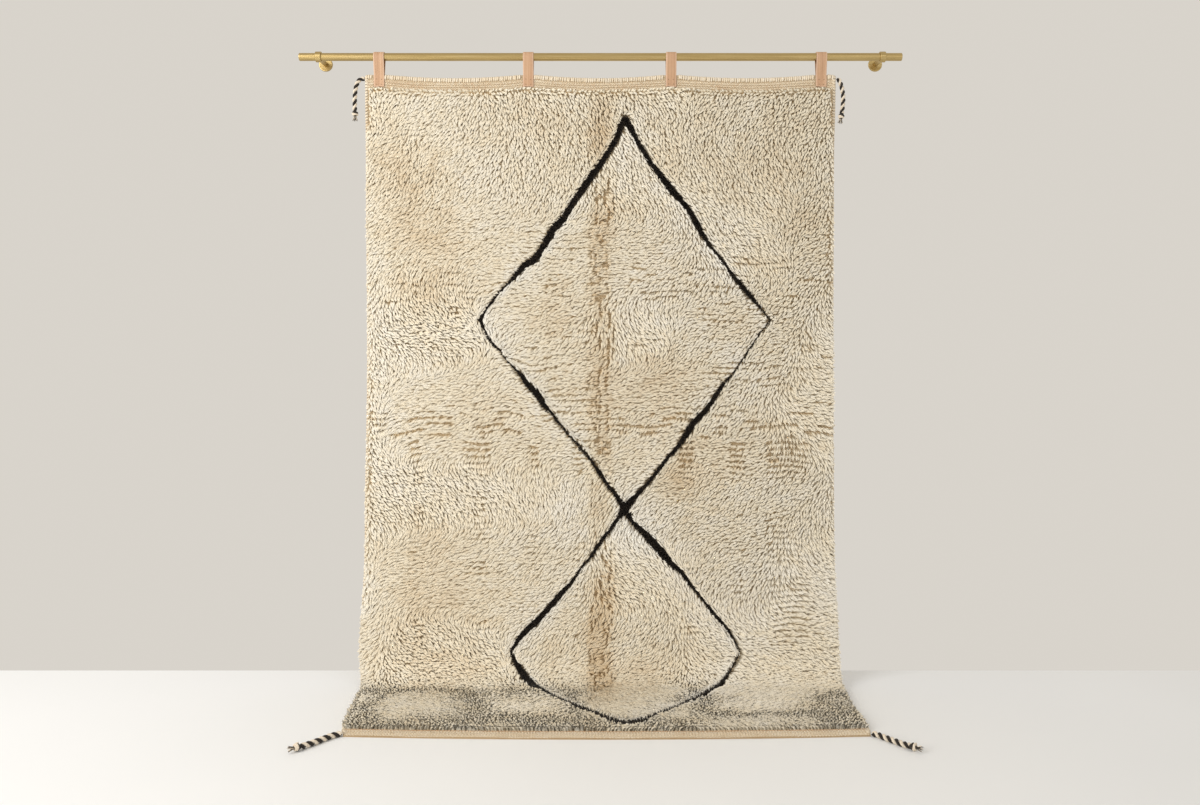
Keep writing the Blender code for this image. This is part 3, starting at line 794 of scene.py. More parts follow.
def stitch_material():
    """Plied wool of the heading, the foot band and the edge binding."""
    m = Nodes("flat_woven_wool", 0.9, specular=0.2)
    tone, _, chance = m.parts(m.mark("tone").outputs["Color"])
    tone = m.math("ADD", tone, m.math("MULTIPLY", m.math("SUBTRACT", chance, 0.5), 0.35), clamp=True)
    colour = m.ramp(tone, (0.0, (0.55, 0.33, 0.18)), (0.5, (0.80, 0.68, 0.50)), (1.0, (0.90, 0.83, 0.71)))
    fibre = m.noise(m.place(), 700.0, 3.0)
    colour = m.mix(m.math("MULTIPLY", fibre, 0.35), colour, (0.60, 0.46, 0.30))
    m.set(m.shader, "Sheen Weight", 0.2)
    m.set(m.shader, "Sheen Roughness", 0.6)
    return m.done(colour, m.bump(fibre, 0.6, 0.0008))


def tie_material():
    """Black and cream yarn twisted together; the mark says which strand is which."""
    m = Nodes("tie_yarn_plied", 0.88, specular=0.2)
    dark, _, _ = m.parts(m.mark("tone").outputs["Color"])
    fibre = m.noise(m.place(), 520.0, 3.0, distortion=0.4)
    cream = m.ramp(fibre, (0.25, (0.62, 0.50, 0.36)), (0.7, (0.88, 0.81, 0.69)))
    black = m.ramp(fibre, (0.3, (0.010, 0.008, 0.007)), (0.8, (0.050, 0.040, 0.032)))
    colour = m.mix(dark, cream, black)
    m.set(m.shader, "Sheen Weight", 0.15)
    m.set(m.shader, "Sheen Roughness", 0.5)
    return m.done(colour, m.bump(fibre, 0.7, 0.001))


def leather_material():
    """Vegetable-tanned strap: lengthwise streaks, fine grain, paler cut edges, and painted shade on the inner
    face that lies against the rod and the cloth.
    """
    m = Nodes("tan_leather_strap", 0.55, specular=0.4)
    edge, inner_face_shade, _ = m.parts(m.mark("tone").outputs["Color"])
    streaks = m.noise(m.place((260.0, 6.0, 6.0)), 1.0, 3.0)
    pores = m.noise(m.place(), 900.0, 4.0, 0.6)
    cloud = m.noise(m.place(), 38.0, 3.0)
    colour = m.ramp(streaks, (0.25, (0.40, 0.22, 0.12)), (0.55, (0.56, 0.34, 0.20)),
                    (0.8, (0.68, 0.45, 0.29)))
    colour = m.mix(m.math("MULTIPLY", cloud, 0.35), colour, (0.62, 0.42, 0.28))
    colour = m.mix(m.math("MULTIPLY", edge, 0.55), colour, (0.76, 0.55, 0.42))
    # Painted shade: the inner face of the strap is made dark brown for the shade where it lies against the
    # rod and the cloth.
    colour = m.mix(inner_face_shade, colour, (0.36, 0.20, 0.11))
    rough = m.math("ADD", m.math("MULTIPLY", pores, 0.25), 0.42)
    return m.done(colour, m.bump(pores, 0.35, 0.0005, m.bump(streaks, 0.25, 0.0006)), rough)


def thread_material():
    m = Nodes("waxed_thread", 0.6)
    fibre = m.noise(m.place(), 1500.0, 2.0)
    colour = m.ramp(fibre, (0.3, (0.030, 0.018, 0.012)), (0.8, (0.10, 0.06, 0.035)))
    return m.done(colour, m.bump(fibre, 0.5, 0.0004))


def brass_material():
    """Satin brass: drawn lengthwise, with faint darker bands and rubbed spots."""
    m = Nodes("satin_brass", 0.36, metallic=1.0)
    drawn = m.noise(m.place((5.0, 320.0, 320.0)), 1.0, 3.0)
    spots = m.noise(m.place(), 26.0, 4.0, 0.6)
    colour = m.ramp(drawn, (0.2, (0.44, 0.31, 0.12)), (0.55, (0.60, 0.45, 0.20)),
                    (0.85, (0.72, 0.58, 0.32)))
    colour = m.mix(m.math("MULTIPLY", spots, 0.30), colour, (0.34, 0.24, 0.10))
    rough = m.math("ADD", m.math("MULTIPLY", spots, 0.20), m.math("MULTIPLY", drawn, 0.14))
    rough = m.math("ADD", rough, 0.20)
    return m.done(colour, m.bump(drawn, 0.12, 0.0004), rough)


def floor_material():
    m = Nodes("pale_floor", 0.7, specular=0.25)
    cloud = m.noise(m.place(), 0.7, 2.0)
    return m.done(m.ramp(cloud, (0.3, (0.86, 0.87, 0.88)), (0.7, (0.90, 0.91, 0.92))))


WOOL = wool_material()
BLACK_WOOL = black_wool_material()
WOVEN = ground_material()
STITCH = stitch_material()
YARN = tie_material()
HIDE = leather_material()
THREAD = thread_material()
BRASS = brass_material()


# ---- corner ties ----
def smooth_route(points, spacing):
    """A fine, evenly spaced curve through the route's own points (Catmull-Rom)."""
    points = [np.array(point, float) for point in points]
    ends = [2.0 * points[0] - points[1]] + points + [2.0 * points[-1] - points[-2]]
    fine = []
    for before, start, end, after in zip(ends, ends[1:], ends[2:], ends[3:]):
        for t in np.arange(16) / 16.0:
            bend = (2.0 * before - 5.0 * start + 4.0 * end - after) * t * t
            twist = (3.0 * start - before - 3.0 * end + after) * t ** 3
            fine.append((2.0 * start + (end - before) * t + bend + twist) / 2.0)
    fine = np.array(fine + [points[-1]])
    lengths = np.concatenate([[0.0], np.cumsum(np.linalg.norm(np.diff(fine, axis=0), axis=1))])
    wanted = np.linspace(0.0, lengths[-1], max(2, round(lengths[-1] / spacing)) + 1)
    return np.stack([np.interp(wanted, lengths, fine[:, axis]) for axis in range(3)], axis=1), lengths[-1]


def carried_frames(line):
    """Direction and two side vectors along a line, turned as little as possible."""
    ways = unit(np.gradient(line, axis=0))
    side = unit(np.cross(ways[0], np.array((0.3, 0.2, 0.9))))
    sides = []
    for way in ways:
        side = unit(side - way * np.dot(side, way))
        sides.append(side)
    sides = np.array(sides)
    return ways, sides, np.cross(ways, sides)


def yarn_tube(line, radii, sides=8, start_sharp=False, end_sharp=True):
    """One closed yarn along a line."""
    ways, side, top = carried_frames(line)
    radii = np.broadcast_to(radii, (len(line),))[:, None]
    return strands(line[None], (side * radii)[None], (top * radii)[None], sides,
                   start_sharp, end_sharp)


def marked(tube, dark):
    """A yarn with its colour mark."""
    points, blocks, outward = tube
    mark = np.zeros(points.shape)
    mark[..., 0] = dark
    mark[..., 2] = 0.5
    return points, blocks, outward, mark


TWIST_PITCH = 0.027
KNOT_LENGTH = 0.034


def add_tie(corner):
    """A black and a cream yarn twisted round each other, ending in a knot with loose ends."""
    radius = TIE_RADIUS[corner.split("_")[0]]
    line, length = smooth_route(TIE_ROUTES[corner], 0.0022)
    ways, side, top = carried_frames(line)
    along = np.linspace(0.0, length, len(line))
    rng = np.random.default_rng(sum(map(ord, corner)))
    parts = []
    for phase, dark in ((0.0, 1.0), (math.pi, 0.0)):
        turn = (2.0 * math.pi * along / TWIST_PITCH + phase)[:, None]
        wind = side * np.cos(turn) + top * np.sin(turn)
        middle = line + wind * radius * 0.50
        swell = 1.0 + 0.05 * np.sin(along * 210.0 + phase)
        parts.append(marked(yarn_tube(middle, radius * 0.56 * swell, 10, end_sharp=False), dark))
    count = 260
    at = rng.integers(2, len(line) - 2, count)
    angle = rng.uniform(0.0, 2.0 * math.pi, count)[:, None]
    out = side[at] * np.cos(angle) + top[at] * np.sin(angle)
    wind_turn = (2.0 * math.pi * along[at] / TWIST_PITCH)[:, None]
    dark = ((out * (side[at] * np.cos(wind_turn) + top[at] * np.sin(wind_turn))).sum(axis=1) > 0.0)
    base = line[at] + out * radius * 0.80
    tip = base + unit(out * 0.6 + ways[at] * rng.uniform(-1, 1, (count, 1))) * rng.uniform(
        0.0015, 0.0042, (count, 1))
    tip[:, 2] = np.maximum(tip[:, 2], 0.0004)
    thin = 0.00022
    fuzz = strands(np.stack([base, tip], axis=1), np.repeat(ways[at][:, None] * thin, 2, axis=1),
                   np.repeat(np.cross(out, ways[at])[:, None] * thin, 2, axis=1), 3)
    mark = np.zeros(fuzz[0].shape)
    mark[..., 0] = dark[:, None]
    parts.append((*fuzz, mark))
    points, blocks, _, marks = joined(parts)
    tie = piece_from("tie_" + corner + "_yarn", points, blocks, YARN, "tie_yarn", tone=marks)
    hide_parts("tie_" + corner)
    knot = add_knot(corner, line[-1], ways[-1], radius, rng)


def add_knot(corner, end, way, radius, rng):
    """An overhand knot of the two yarns and the brush of loose ends below it."""
    side = unit(np.cross(way, np.array((0.2, 0.9, 0.3))))
    top = np.cross(way, side)
    low = end[2] < 0.1
    parts = []
    yarn = radius * 0.47
    turn = np.linspace(0.0, 2.0 * math.pi * 2.15, 44)[:, None]
    reach = 0.0060 - 0.0012 * np.cos(turn / 2.0)
    for phase, dark, lift in ((0.2, 1.0, 0.0), (math.pi + 0.2, 0.0, 0.0026)):
        climb = 0.0042 + lift + 0.0082 * turn / turn[-1]
        loop = end + way * climb + (side * np.cos(turn + phase) + top * np.sin(turn + phase)) * reach
        parts.append(marked(yarn_tube(loop, yarn, 8, start_sharp=True), dark))
    bar = np.linspace(-1.0, 1.0, 14)[:, None]
    cross = end + way * (0.0085 + 0.0055 * bar) + side * (0.0052 * bar)
    cross = cross - top * (0.0090 * np.sqrt(np.maximum(1.0 - 0.55 * bar ** 2, 0.0)))
    parts.append(marked(yarn_tube(cross, yarn, 8, start_sharp=True), 0.0))
    core = end + way * np.linspace(-0.001, 0.022, 10)[:, None]
    parts.append(marked(yarn_tube(core, np.linspace(radius * 0.75, 0.0045, 10), 8), 1.0))
    for index in range(22):
        angle = 2.0 * math.pi * index / 22.0 + rng.uniform(-0.2, 0.2)
        out = side * math.cos(angle) + top * math.sin(angle)
        reach_end = rng.uniform(0.35, 1.0)
        step = np.linspace(0.0, 1.0, 8)[:, None]
        curl = unit(np.cross(way, out)) * rng.uniform(-0.003, 0.003)
        line = end + way * (0.0155 + (KNOT_LENGTH - 0.0165 + 0.002 * rng.uniform(-1, 1)) * step)
        line = line + out * (0.0028 + 0.0062 * reach_end * step ** 1.6) + curl * step ** 2
        if low:
            line[:, 2] = np.maximum(line[:, 2], 0.0014)
        width = np.linspace(0.0013, 0.0007, 8)
        parts.append(marked(yarn_tube(line, width, 5, start_sharp=True), float(index % 3 != 0)))
    points, blocks, _, marks = joined(parts)
    if low:
        points[:, 2] = np.maximum(points[:, 2], 0.0003)
    knot = piece_from("knot_" + corner + "_yarn", points, blocks, YARN, "tie_yarn", tone=marks)
    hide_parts("knot_" + corner)
    return knot


for corner_name in TIE_ROUTES:
    add_tie(corner_name)


# ---- leather tabs ----
def tab_midline():
    """Side view of one tab's mid-leather line: up the front leaf, over the rod, down the back."""
    wrap = ROD_RADIUS + GAP + LEATHER / 2.0
    leaf = GROUND / 2.0 + GAP + LEATHER / 2.0
    foot = RUG_TOP - TAB_OVERLAP
    shoulder = RUG_TOP + 0.003
    drop = ROD_HEIGHT - shoulder
    tilt = math.asin(wrap / math.hypot(drop, leaf)) - math.atan2(leaf, drop)
    front = [(-leaf, foot + (shoulder - foot) * share) for share in np.linspace(0.0, 1.0, 10)]
    around = [(wrap * math.cos(angle), ROD_HEIGHT + wrap * math.sin(angle))
              for angle in np.linspace(math.pi + tilt, -tilt, 26)]
    up = [tuple(np.array(front[-1]) * (1 - s) + np.array(around[0]) * s) for s in (0.25, 0.5, 0.75)]
    fall = [(-y, z) for y, z in up[::-1]]
    back = [(-y, z) for y, z in front[::-1]]
    return np.array(front + up + around + fall + back) - np.array((ROD_STANDOFF, 0.0))


def add_tab(index, centre_x):
    """One strap folded over the rod, with its stitches through both leaves and the heading."""
    rng = np.random.default_rng(60 + index)
    line = tab_midline()
    ways = unit(np.gradient(line, axis=0))
    sides = np.stack([-ways[:, 1], ways[:, 0]], axis=1)
    half, thick, soft = TAB_WIDTH / 2.0, LEATHER / 2.0, 0.0007
    outline = []
    for u in np.linspace(-half + soft, half - soft, 9):
        outline.append((u, thick))
    outline += [(half - soft * 0.3, thick - soft * 0.3), (half, thick - soft), (half, soft - thick),
                (half - soft * 0.3, soft * 0.3 - thick)]
    for u in np.linspace(half - soft, soft - half, 9):
        outline.append((u, -thick))
    outline += [(soft * 0.3 - half, soft * 0.3 - thick), (-half, soft - thick), (-half, thick - soft),
                (soft * 0.3 - half, thick - soft * 0.3)]
    outline = np.array(outline)
    count = len(outline)
    uneven = 0.0010 * np.sin(outline[:, 0] * 160.0 + index) + 0.0006 * np.sin(outline[:, 0] * 420.0)
    rows = []
    marks = []
    last = len(line) - 1
    for place in range(last + 1):
        point, side = line[place], sides[place]
        x = centre_x + outline[:, 0]
        y = point[0] + side[0] * outline[:, 1]
        z = point[1] + side[1] * outline[:, 1]
        if place in (0, last):
            z = z + np.maximum(uneven, -0.0004)
        rows.append(np.stack([x, y, z], axis=1))
        edge = ease((np.abs(outline[:, 0]) - half + 0.0045) / 0.0022)
        end = 1.0 if place in (0, last) else 0.0
        # Marks the inner face, which the material paints dark as shade.
        shaded_inner_face = (outline[:, 1] < 0.0).astype(float)
        marks.append(np.stack([np.maximum(edge, end), shaded_inner_face, np.zeros(count)], axis=1))
    points = np.concatenate(rows)
    steps = np.arange(count)
    follow = (steps + 1) % count
    quads = np.concatenate([np.stack([place * count + steps, (place + 1) * count + steps,
                                      (place + 1) * count + follow, place * count + follow], axis=1)
                            for place in range(last)])
    caps = [np.array([steps]), np.array([(last * count + steps)[::-1]])]
    strap = piece_from(f"tab_{index}_strap", points, [quads] + caps, HIDE, "leather",
                       tone=np.concatenate(marks))
    strap.data.set_sharp_from_angle(angle=math.radians(50.0))
    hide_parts(f"tab_{index}")
    foot = RUG_TOP - TAB_OVERLAP
    centres, slants = [], []
    for sign in (-1.0, 1.0):
        leaf = GROUND / 2.0 + GAP + LEATHER
        for across in (-0.008, 0.008):
            for lift in (0.008, 0.024):
                x = centre_x + across + rng.uniform(-0.0008, 0.0008)
                z = foot + lift + rng.uniform(-0.0008, 0.0008)
                centres.append((x, -ROD_STANDOFF + sign * (leaf - 0.0001), z))
                slants.append((rng.uniform(0.6, 1.0) * (1 if across > 0 else -1), 0.0,
                              rng.uniform(-0.5, 0.5)))
    centres, slants = np.array(centres), unit(np.array(slants))
    shape = np.linspace(-1.0, 1.0, 5)
    lines = centres[:, None] + slants[:, None] * (shape * 0.0019)[None, :, None]
    depth = np.array((0.0, 1.0, 0.0))
    girth = (np.sqrt(np.maximum(1.0 - shape ** 2, 0.05)) * 0.0010)[None, :, None]
    outward = np.sign(centres[:, 1:2] + ROD_STANDOFF) * depth
    beside = np.cross(outward, slants)
    dots = strands(lines, beside[:, None] * girth, outward[:, None] * girth * 0.7, 6, True, True)
    piece_from(f"tab_{index}_stitches", dots[0], dots[1], THREAD, "leather")
    return strap


TABS = [add_tab(index, centre_x) for index, centre_x in enumerate(TAB_CENTRES, start=1)]


# ---- woven ground ----
def add_ground():
    """The woven ground as one closed sheet, front and back, from the top edge to the foot."""
    downs = np.concatenate([
        np.array((0.0, 0.004, 0.010, 0.016, 0.022, 0.030, 0.037, 0.043)),
        np.arange(0.056, BEND_START, 0.0142),
        np.arange(BEND_START, FLOOR_START + 0.02, 0.0085),
        np.arange(FLOOR_START + 0.034, PILE_END - 0.008, 0.0142),
        np.linspace(PILE_END, RUG_LENGTH, 5),
    ])
    across = np.linspace(-1.0, 1.0, 119)
    share, down = np.meshgrid(across, downs)
    x = np.where(share < 0.0, share * side_distance(down, "left"), share * side_distance(down, "right"))
    front, _, _ = cloth(x, down, GROUND)
    back, _, _ = cloth(x, down, 0.0)
    rows, columns = x.shape
    grid = np.arange(rows * columns).reshape(rows, columns)
    shift = rows * columns

    def quads(a, b, c, d):
        return np.stack([a.ravel(), b.ravel(), c.ravel(), d.ravel()], axis=1)

    faces = [quads(grid[:-1, :-1], grid[1:, :-1], grid[1:, 1:], grid[:-1, 1:])]
    behind = grid + shift
    faces.append(quads(behind[:-1, :-1], behind[:-1, 1:], behind[1:, 1:], behind[1:, :-1]))
    for column, turned in ((0, False), (columns - 1, True)):
        a, b = grid[:-1, column], grid[1:, column]
        c, d = behind[1:, column], behind[:-1, column]
        faces.append(quads(b, a, d, c) if turned else quads(a, d, c, b))
    for row, turned in ((0, False), (rows - 1, True)):
        a, b = grid[row, :-1], grid[row, 1:]
        c, d = behind[row, 1:], behind[row, :-1]
        faces.append(quads(a, b, c, d) if not turned else quads(d, c, b, a))
    edge, _ = near_line(x.ravel(), down.ravel())
    tone = tone_of(x.ravel(), down.ravel())
    black = 0.9 * (1.0 - ease((edge + 0.002) / 0.006))
    mark = np.stack([tone, black, np.zeros_like(tone)], axis=1)
    weave = np.stack([x.ravel(), down.ravel(), np.zeros(x.size)], axis=1)
    points = np.concatenate([front.reshape(-1, 3), back.reshape(-1, 3)])
    # The front face's tone is scaled down to 0.7, darker than the back: painted shade for the ground seen
    # down between the tufts.
    ground = piece_from("rug_ground", points, faces, WOVEN, "cream_wool",
                        tone=np.concatenate([mark * np.array((0.7, 1.0, 1.0)), mark * np.array((1, 0.0, 1))]),
                        weave=np.concatenate([weave, weave]))
    ground.data.set_sharp_from_angle(angle=math.radians(60.0))
    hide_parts("rug")
    return ground


GROUND_SHEET = add_ground()


# ---- flat-woven strips and binding ----
def grains(x, down, height, turn, length, width, thick):
    """Small spindles of yarn lying on the cloth, turned away from straight down it."""
    centre, out, run = cloth(x, down, height)
    level = np.array((1.0, 0.0, 0.0))
    way = level * np.sin(turn)[:, None] + run * np.cos(turn)[:, None]
    side = np.cross(out, way)
    shape = np.linspace(-1.0, 1.0, 5)
    girth = np.sqrt(np.maximum(1.0 - shape ** 2, 0.0)) * 0.95 + 0.05
    lines = centre[:, None] + way[:, None] * (shape[None, :] * length[:, None] / 2.0)[..., None]
    side = side[:, None] * (girth[None, :] * width[:, None] / 2.0)[..., None]
    top = out[:, None] * (girth[None, :] * thick[:, None] / 2.0)[..., None]
    return strands(lines, side, top, 4, True, True)


def toned(shape, tone, chance):
    """Adds the tone mark to a set of grains."""
    points, blocks, outward = shape
    mark = np.stack(np.broadcast_arrays(tone[:, None], 0.5, chance[:, None]), axis=-1)
    mark = np.broadcast_to(mark, points.shape).copy()
    return points, blocks, outward, mark


def clear_of_tabs(x, margin=0.0022):
    reach = TAB_WIDTH / 2.0 + margin
    return np.min(np.abs(x[:, None] - np.array(TAB_CENTRES)[None]), axis=1) > reach


def knit_rows(downs, pitch, tone_base, seed, height, at_tabs):
    """Rows of slanted pairs, as a flat-woven strip shows."""
    rng = np.random.default_rng(seed)
    parts = []
    for row, row_down in enumerate(downs):
        x = np.arange(-0.765, 0.765, pitch) + rng.uniform(-0.0008, 0.0008)
        x = x + (row % 2) * pitch * 0.15
        for slant in (-1.0, 1.0):
            here = x + slant * pitch * 0.25 + rng.uniform(-0.0005, 0.0005, len(x))
            down = row_down + rng.uniform(-0.0006, 0.0006, len(x)) + 0.0012 * np.sin(here * 23.0 + seed)
            keep = inside_of(here, down) > 0.003
            if not at_tabs:
                keep &= clear_of_tabs(here)
            here, down = here[keep], down[keep]
            size = len(here)
            shape = grains(here, down, height, slant * -0.48 + rng.normal(0.0, 0.10, size),
                           rng.uniform(0.0086, 0.0102, size), rng.uniform(0.0040, 0.0048, size),
                           rng.uniform(0.0030, 0.0038, size))
            tone = tone_base + 0.25 * (mottle(here, down) - 0.5)
            parts.append(toned(shape, tone, rng.random(size)))
    return parts


def add_heading():
    """Three knit-like rows and the rolled edge that is overcast with thick yarn."""
    rng = np.random.default_rng(71)
    parts = knit_rows((0.0205, 0.0290, 0.0375), 0.0082, 0.50, 72, GROUND + 0.0004, False)
    x = np.arange(-0.758, 0.758, 0.0070)
    x = x + rng.uniform(-0.0009, 0.0009, len(x))
    x = x[clear_of_tabs(x, 0.0042)]
    downs = np.array((0.0150, 0.0112, 0.0058, 0.0010, -0.0016, 0.0010, 0.0058, 0.0112, 0.0145))
    heights = np.array((0.0046, 0.0062, 0.0070, 0.0060, 0.0025, -0.0006, -0.0012, -0.0010, 0.0008))
    reach = rng.uniform(0.85, 1.15, len(x))[:, None]
    slant = (rng.normal(0.0016, 0.0006, len(x))[:, None]) * np.linspace(-1.0, 1.0, 9)[None]
    columns = x[:, None] + slant
    middle, _, _ = cloth(columns, np.where(downs > 0.002, downs * reach, downs), heights[None])
    ways = unit(np.gradient(middle, axis=1))
    side = unit(np.cross(np.cross(ways, np.array((1.0, 0.0, 0.0))), ways))
    top = np.cross(ways, side)
    girth = np.array((0.3, 0.9, 1.0, 1.0, 1.0, 1.0, 1.0, 0.9, 0.3))[None, :, None]
    size = rng.uniform(0.92, 1.10, len(x))[:, None, None]
    roll = strands(middle, side * girth * size * 0.0035, top * girth * size * 0.0017, 6, True, True)
    parts.append(toned(roll, 0.66 + 0.2 * (mottle(x, x * 0.0 + 0.01) - 0.5), rng.random(len(x))))
    points, blocks, _, marks = joined(parts)
    return piece_from("rug_heading", points, blocks, STITCH, "cream_wool", tone=marks)


def add_foot_band():
    """Five knit-like rows and a warm dark line of grains where the pile ends: painted shadow under the pile's
    overhanging end.
    """
    rng = np.random.default_rng(81)
    downs = [PILE_END + 0.0062 + 0.0083 * row for row in range(5)]
    parts = knit_rows(downs, 0.0086, 0.62, 82, GROUND - 0.0004, True)
    x = np.arange(-0.735, 0.745, 0.0085)
    down = PILE_END + 0.0012 + 0.0010 * np.sin(x * 31.0) + rng.uniform(-0.0004, 0.0004, len(x))
    keep = inside_of(x, down) > 0.004
    x, down = x[keep], down[keep]
    size = len(x)
    # Painted shadow: a row of dark warm tan grains just below the pile's end, for the shadow the pile casts
    # there.
    pile_end_shadow = grains(x, down, GROUND + 0.0006, math.pi / 2.0 + rng.normal(0.0, 0.08, size),
                  np.full(size, 0.0105), np.full(size, 0.0034), np.full(size, 0.0034))
    parts.append(toned(pile_end_shadow, np.full(size, 0.10), rng.random(size) * 0.5 + 0.25))
    points, blocks, _, marks = joined(parts)
    return piece_from("rug_foot_band", points, blocks, STITCH, "cream_wool", tone=marks)


def add_binding():
    """Yarn overcast round both side edges."""
    rng = np.random.default_rng(91)
    parts = []
    for column, sign in (("left", -1.0), ("right", 1.0)):
        down = np.arange(0.006, RUG_LENGTH - 0.006, 0.0098)
        down = down + rng.uniform(-0.0008, 0.0008, len(down))
        edge_x = sign * side_distance(down, column)
        inward = np.array((0.0115, 0.0070, 0.0010, -0.0010, 0.0010, 0.0070, 0.0115))
        heights = np.array((0.0044, 0.0062, 0.0060, 0.0025, -0.0002, 0.0000, 0.0008))
        slant = rng.normal(0.0022, 0.0008, len(down))[:, None] * np.linspace(-1.0, 1.0, 7)[None]
        lying = down > FLOOR_START - 0.03
        heights = np.where(lying[:, None], np.maximum(heights, 0.0018)[None], heights[None])
        middle, out, _ = cloth(edge_x[:, None] - sign * inward[None], down[:, None] + slant, heights)
        ways = unit(np.gradient(middle, axis=1))
        along = cloth(edge_x, down, 0.0)[2][:, None]
        side = unit(along - ways * (along * ways).sum(axis=-1, keepdims=True))
        top = np.cross(ways, side)
        girth = np.array((0.3, 0.9, 1.0, 1.0, 1.0, 0.9, 0.3))[None, :, None]
        wrap = strands(middle, side * girth * 0.0046, top * girth * 0.0015, 4, True, True)
        parts.append(toned(wrap, 0.62 + 0.2 * (mottle(edge_x, down) - 0.5), rng.random(len(down))))
    points, blocks, _, marks = joined(parts)
    return piece_from("rug_binding", points, blocks, STITCH, "cream_wool", tone=marks)


HEADING_PIECE = add_heading()
FOOT_PIECE = add_foot_band()
BINDING_PIECE = add_binding()


# ---- pile ----
def make_kind(seed, pitch, jitter, bent, length, radius, gather, spread):
    """All strands of one kind over the whole field."""
    x, down, rng = scattered(seed, pitch, jitter)
    lean, gap, edge, clump_tone = lean_of(x, down, rng, gather, spread)
    keep = (edge > -0.0008) & (rng.random(len(x)) > gap * 0.85)
    count = len(x)
    rim = np.minimum.reduce([inside_of(x, down) / 0.020, (down - HEADING) / 0.016,
                             (PILE_END - down) / 0.014])
    short = 0.62 + 0.38 * ease(rim)
    size = length * rng.uniform(0.90, 1.10, count) * short * (1.0 - 0.12 * gap)
    # Painted shade: strands are made darker where the folds part the pile, for the shade in the open gaps.
    tone = tone_of(x, down) + 0.05 * clump_tone - 0.40 * gap
    kind = {"x": x, "down": down, "lean": lean, "length": size,
            "radius": radius * rng.uniform(0.85, 1.15, count), "tone": np.clip(tone, 0.0, 1.0),
            "chance": rng.random(count)}
    kind = {label: values[keep] for label, values in kind.items()}
    return {**kind, "bent": bent}


KINDS = (
    make_kind(seed=41, pitch=0.0100, jitter=0.0028, bent=True, length=0.0290, radius=0.0050,
              gather=0.15, spread=8.0),
    make_kind(seed=42, pitch=0.0075, jitter=0.0030, bent=False, length=0.0275, radius=0.0027,
              gather=0.12, spread=12.0),
)
BANDS = np.linspace(HEADING, PILE_END + 0.001, 6)
PILE_PIECES = [wool_pile(f"rug_pile_{index}", low, high, KINDS)
               for index, (low, high) in enumerate(zip(BANDS, BANDS[1:]), start=1)]


LINE_PITCH = 0.0036                 # between the black tufts
LINE_PILE = 0.0232                  # their length
LINE_TUFT = 0.0022                  # their half width at the root
LINE_ROOT_DEPTH = 0.0012


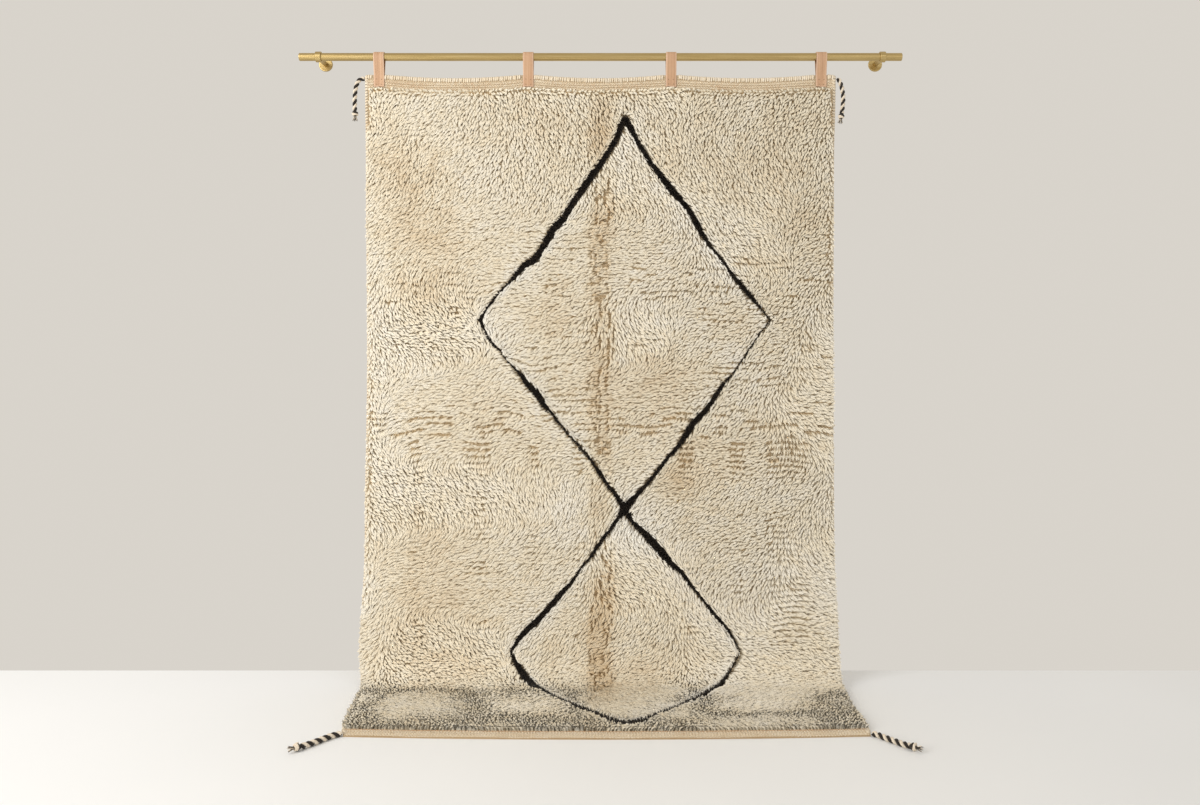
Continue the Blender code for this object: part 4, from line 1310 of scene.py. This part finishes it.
def add_line_pile():
    """Black tufts of the drawn line, with short spikes that stray out of it."""
    rng = np.random.default_rng(51)
    xs, downs = [], []
    for (ax, ad, aw), (bx, bd, bw) in LINE_SEGMENTS:
        run = math.hypot(bx - ax, bd - ad)
        steps = max(1, int(run / LINE_PITCH))
        for step in range(steps):
            share = (step + rng.random()) / steps
            width = (aw + share * (bw - aw)) / 1000.0
            lanes = max(1, int(width / LINE_PITCH + 0.5))
            offset = (np.arange(lanes) + 0.5) / lanes - 0.5
            offset = offset * max(width - LINE_TUFT, 0.0) + rng.normal(0.0, 0.0007, lanes)
            xs.append(ax + share * (bx - ax) - (bd - ad) / run * offset)
            downs.append(ad + share * (bd - ad) + (bx - ax) / run * offset)
    x, down = np.concatenate(xs), np.concatenate(downs)
    x = x + rng.normal(0.0, 0.0005, len(x))
    count = len(x)
    stray = rng.random(count) ** 2.2
    turn = np.radians(-80.0) + np.radians(40.0) * rng.standard_normal(count)
    lean = np.stack([np.sin(turn), np.cos(turn)], axis=1) * (0.08 + 0.42 * stray)[:, None]
    base, out, run = cloth(x, down, GROUND - LINE_ROOT_DEPTH)
    across = np.array((1.0, 0.0, 0.0)) * lean[:, :1] + run * lean[:, 1:]
    length = LINE_PILE * rng.uniform(0.93, 1.06, count)
    first = unit(out + across * 0.5)
    second = unit(out + across * 1.5)
    middle = base + first * (length * 0.6)[:, None]
    tip = middle + second * (length * 0.45)[:, None]
    ways = np.stack([first, unit(first + second), second], axis=1)
    side = unit(np.cross(out, unit(across + run * 1e-4)))
    sides = np.repeat(side[:, None], 3, axis=1)
    tops = unit(np.cross(ways, sides))
    radii = np.stack([np.full(count, LINE_TUFT), np.full(count, 0.0026), np.full(count, 0.0004)], axis=1)
    points, blocks, outward = strands(np.stack([base, middle, tip], axis=1), sides * radii[..., None],
                                      tops * radii[..., None], 3)
    normals = 0.6 * outward + 0.4 * out[:, None]
    chance = rng.random(count)
    along = np.array((0.0, 0.0, 0.0, 0.6, 0.6, 0.6, 1.0))
    marks = np.stack(np.broadcast_arrays(0.0, along[None], chance[:, None]), axis=-1)
    return piece_from("rug_line_pile", points, blocks, BLACK_WOOL, "cream_wool", normals=normals,
                      tone=marks)


LINE_PIECE = add_line_pile()

# ---- brass ----
for node in ("rod", "bracket_left", "bracket_right", "wall_plate_left", "wall_plate_right"):
    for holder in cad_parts[node].material_slots:
        holder.material = BRASS


# ---- floor, light ----
def add_floor():
    reach = 14.0
    corners = [(-reach, -reach, 0.0), (reach, -reach, 0.0), (reach, 0.0, 0.0), (-reach, 0.0, 0.0)]
    mesh = bpy.data.meshes.new("floor")
    mesh.from_pydata([tuple(np.array(corner) + ROOM) for corner in corners], [], [(0, 1, 2, 3)])
    mesh.materials.append(floor_material())
    floor = bpy.data.objects.new("floor", mesh)
    bpy.context.scene.collection.objects.link(floor)


def add_light(name, place, aim, size, power, colour):
    data = bpy.data.lights.new(name, "AREA")
    data.shape = "RECTANGLE"
    data.size, data.size_y = size
    data.energy = power
    data.color = colour
    light = bpy.data.objects.new(name, data)
    light.location = Vector(place) + Vector(ROOM)
    light.rotation_mode = "QUATERNION"
    light.rotation_quaternion = (Vector(aim) - Vector(place)).to_track_quat("-Z", "Y")
    bpy.context.scene.collection.objects.link(light)


add_floor()
add_light("key", place=(-3.4, -2.9, 2.3), aim=(0.0, 0.0, 0.9), size=(2.6, 3.0), power=130.0,
          colour=(1.0, 0.985, 0.965))
add_light("fill", place=(3.0, -4.5, 2.4), aim=(0.0, 0.0, 1.0), size=(3.0, 3.0), power=20.0,
          colour=(0.97, 0.98, 1.0))

ROOM_LIGHT = (0.69, 0.655, 0.60)
world = bpy.data.worlds.new("room")
world.use_nodes = True
world.node_tree.nodes["Background"].inputs["Color"].default_value = (*ROOM_LIGHT, 1.0)
world.node_tree.nodes["Background"].inputs["Strength"].default_value = 1.0
bpy.context.scene.world = world
bpy.context.scene.view_settings.view_transform = "Standard"
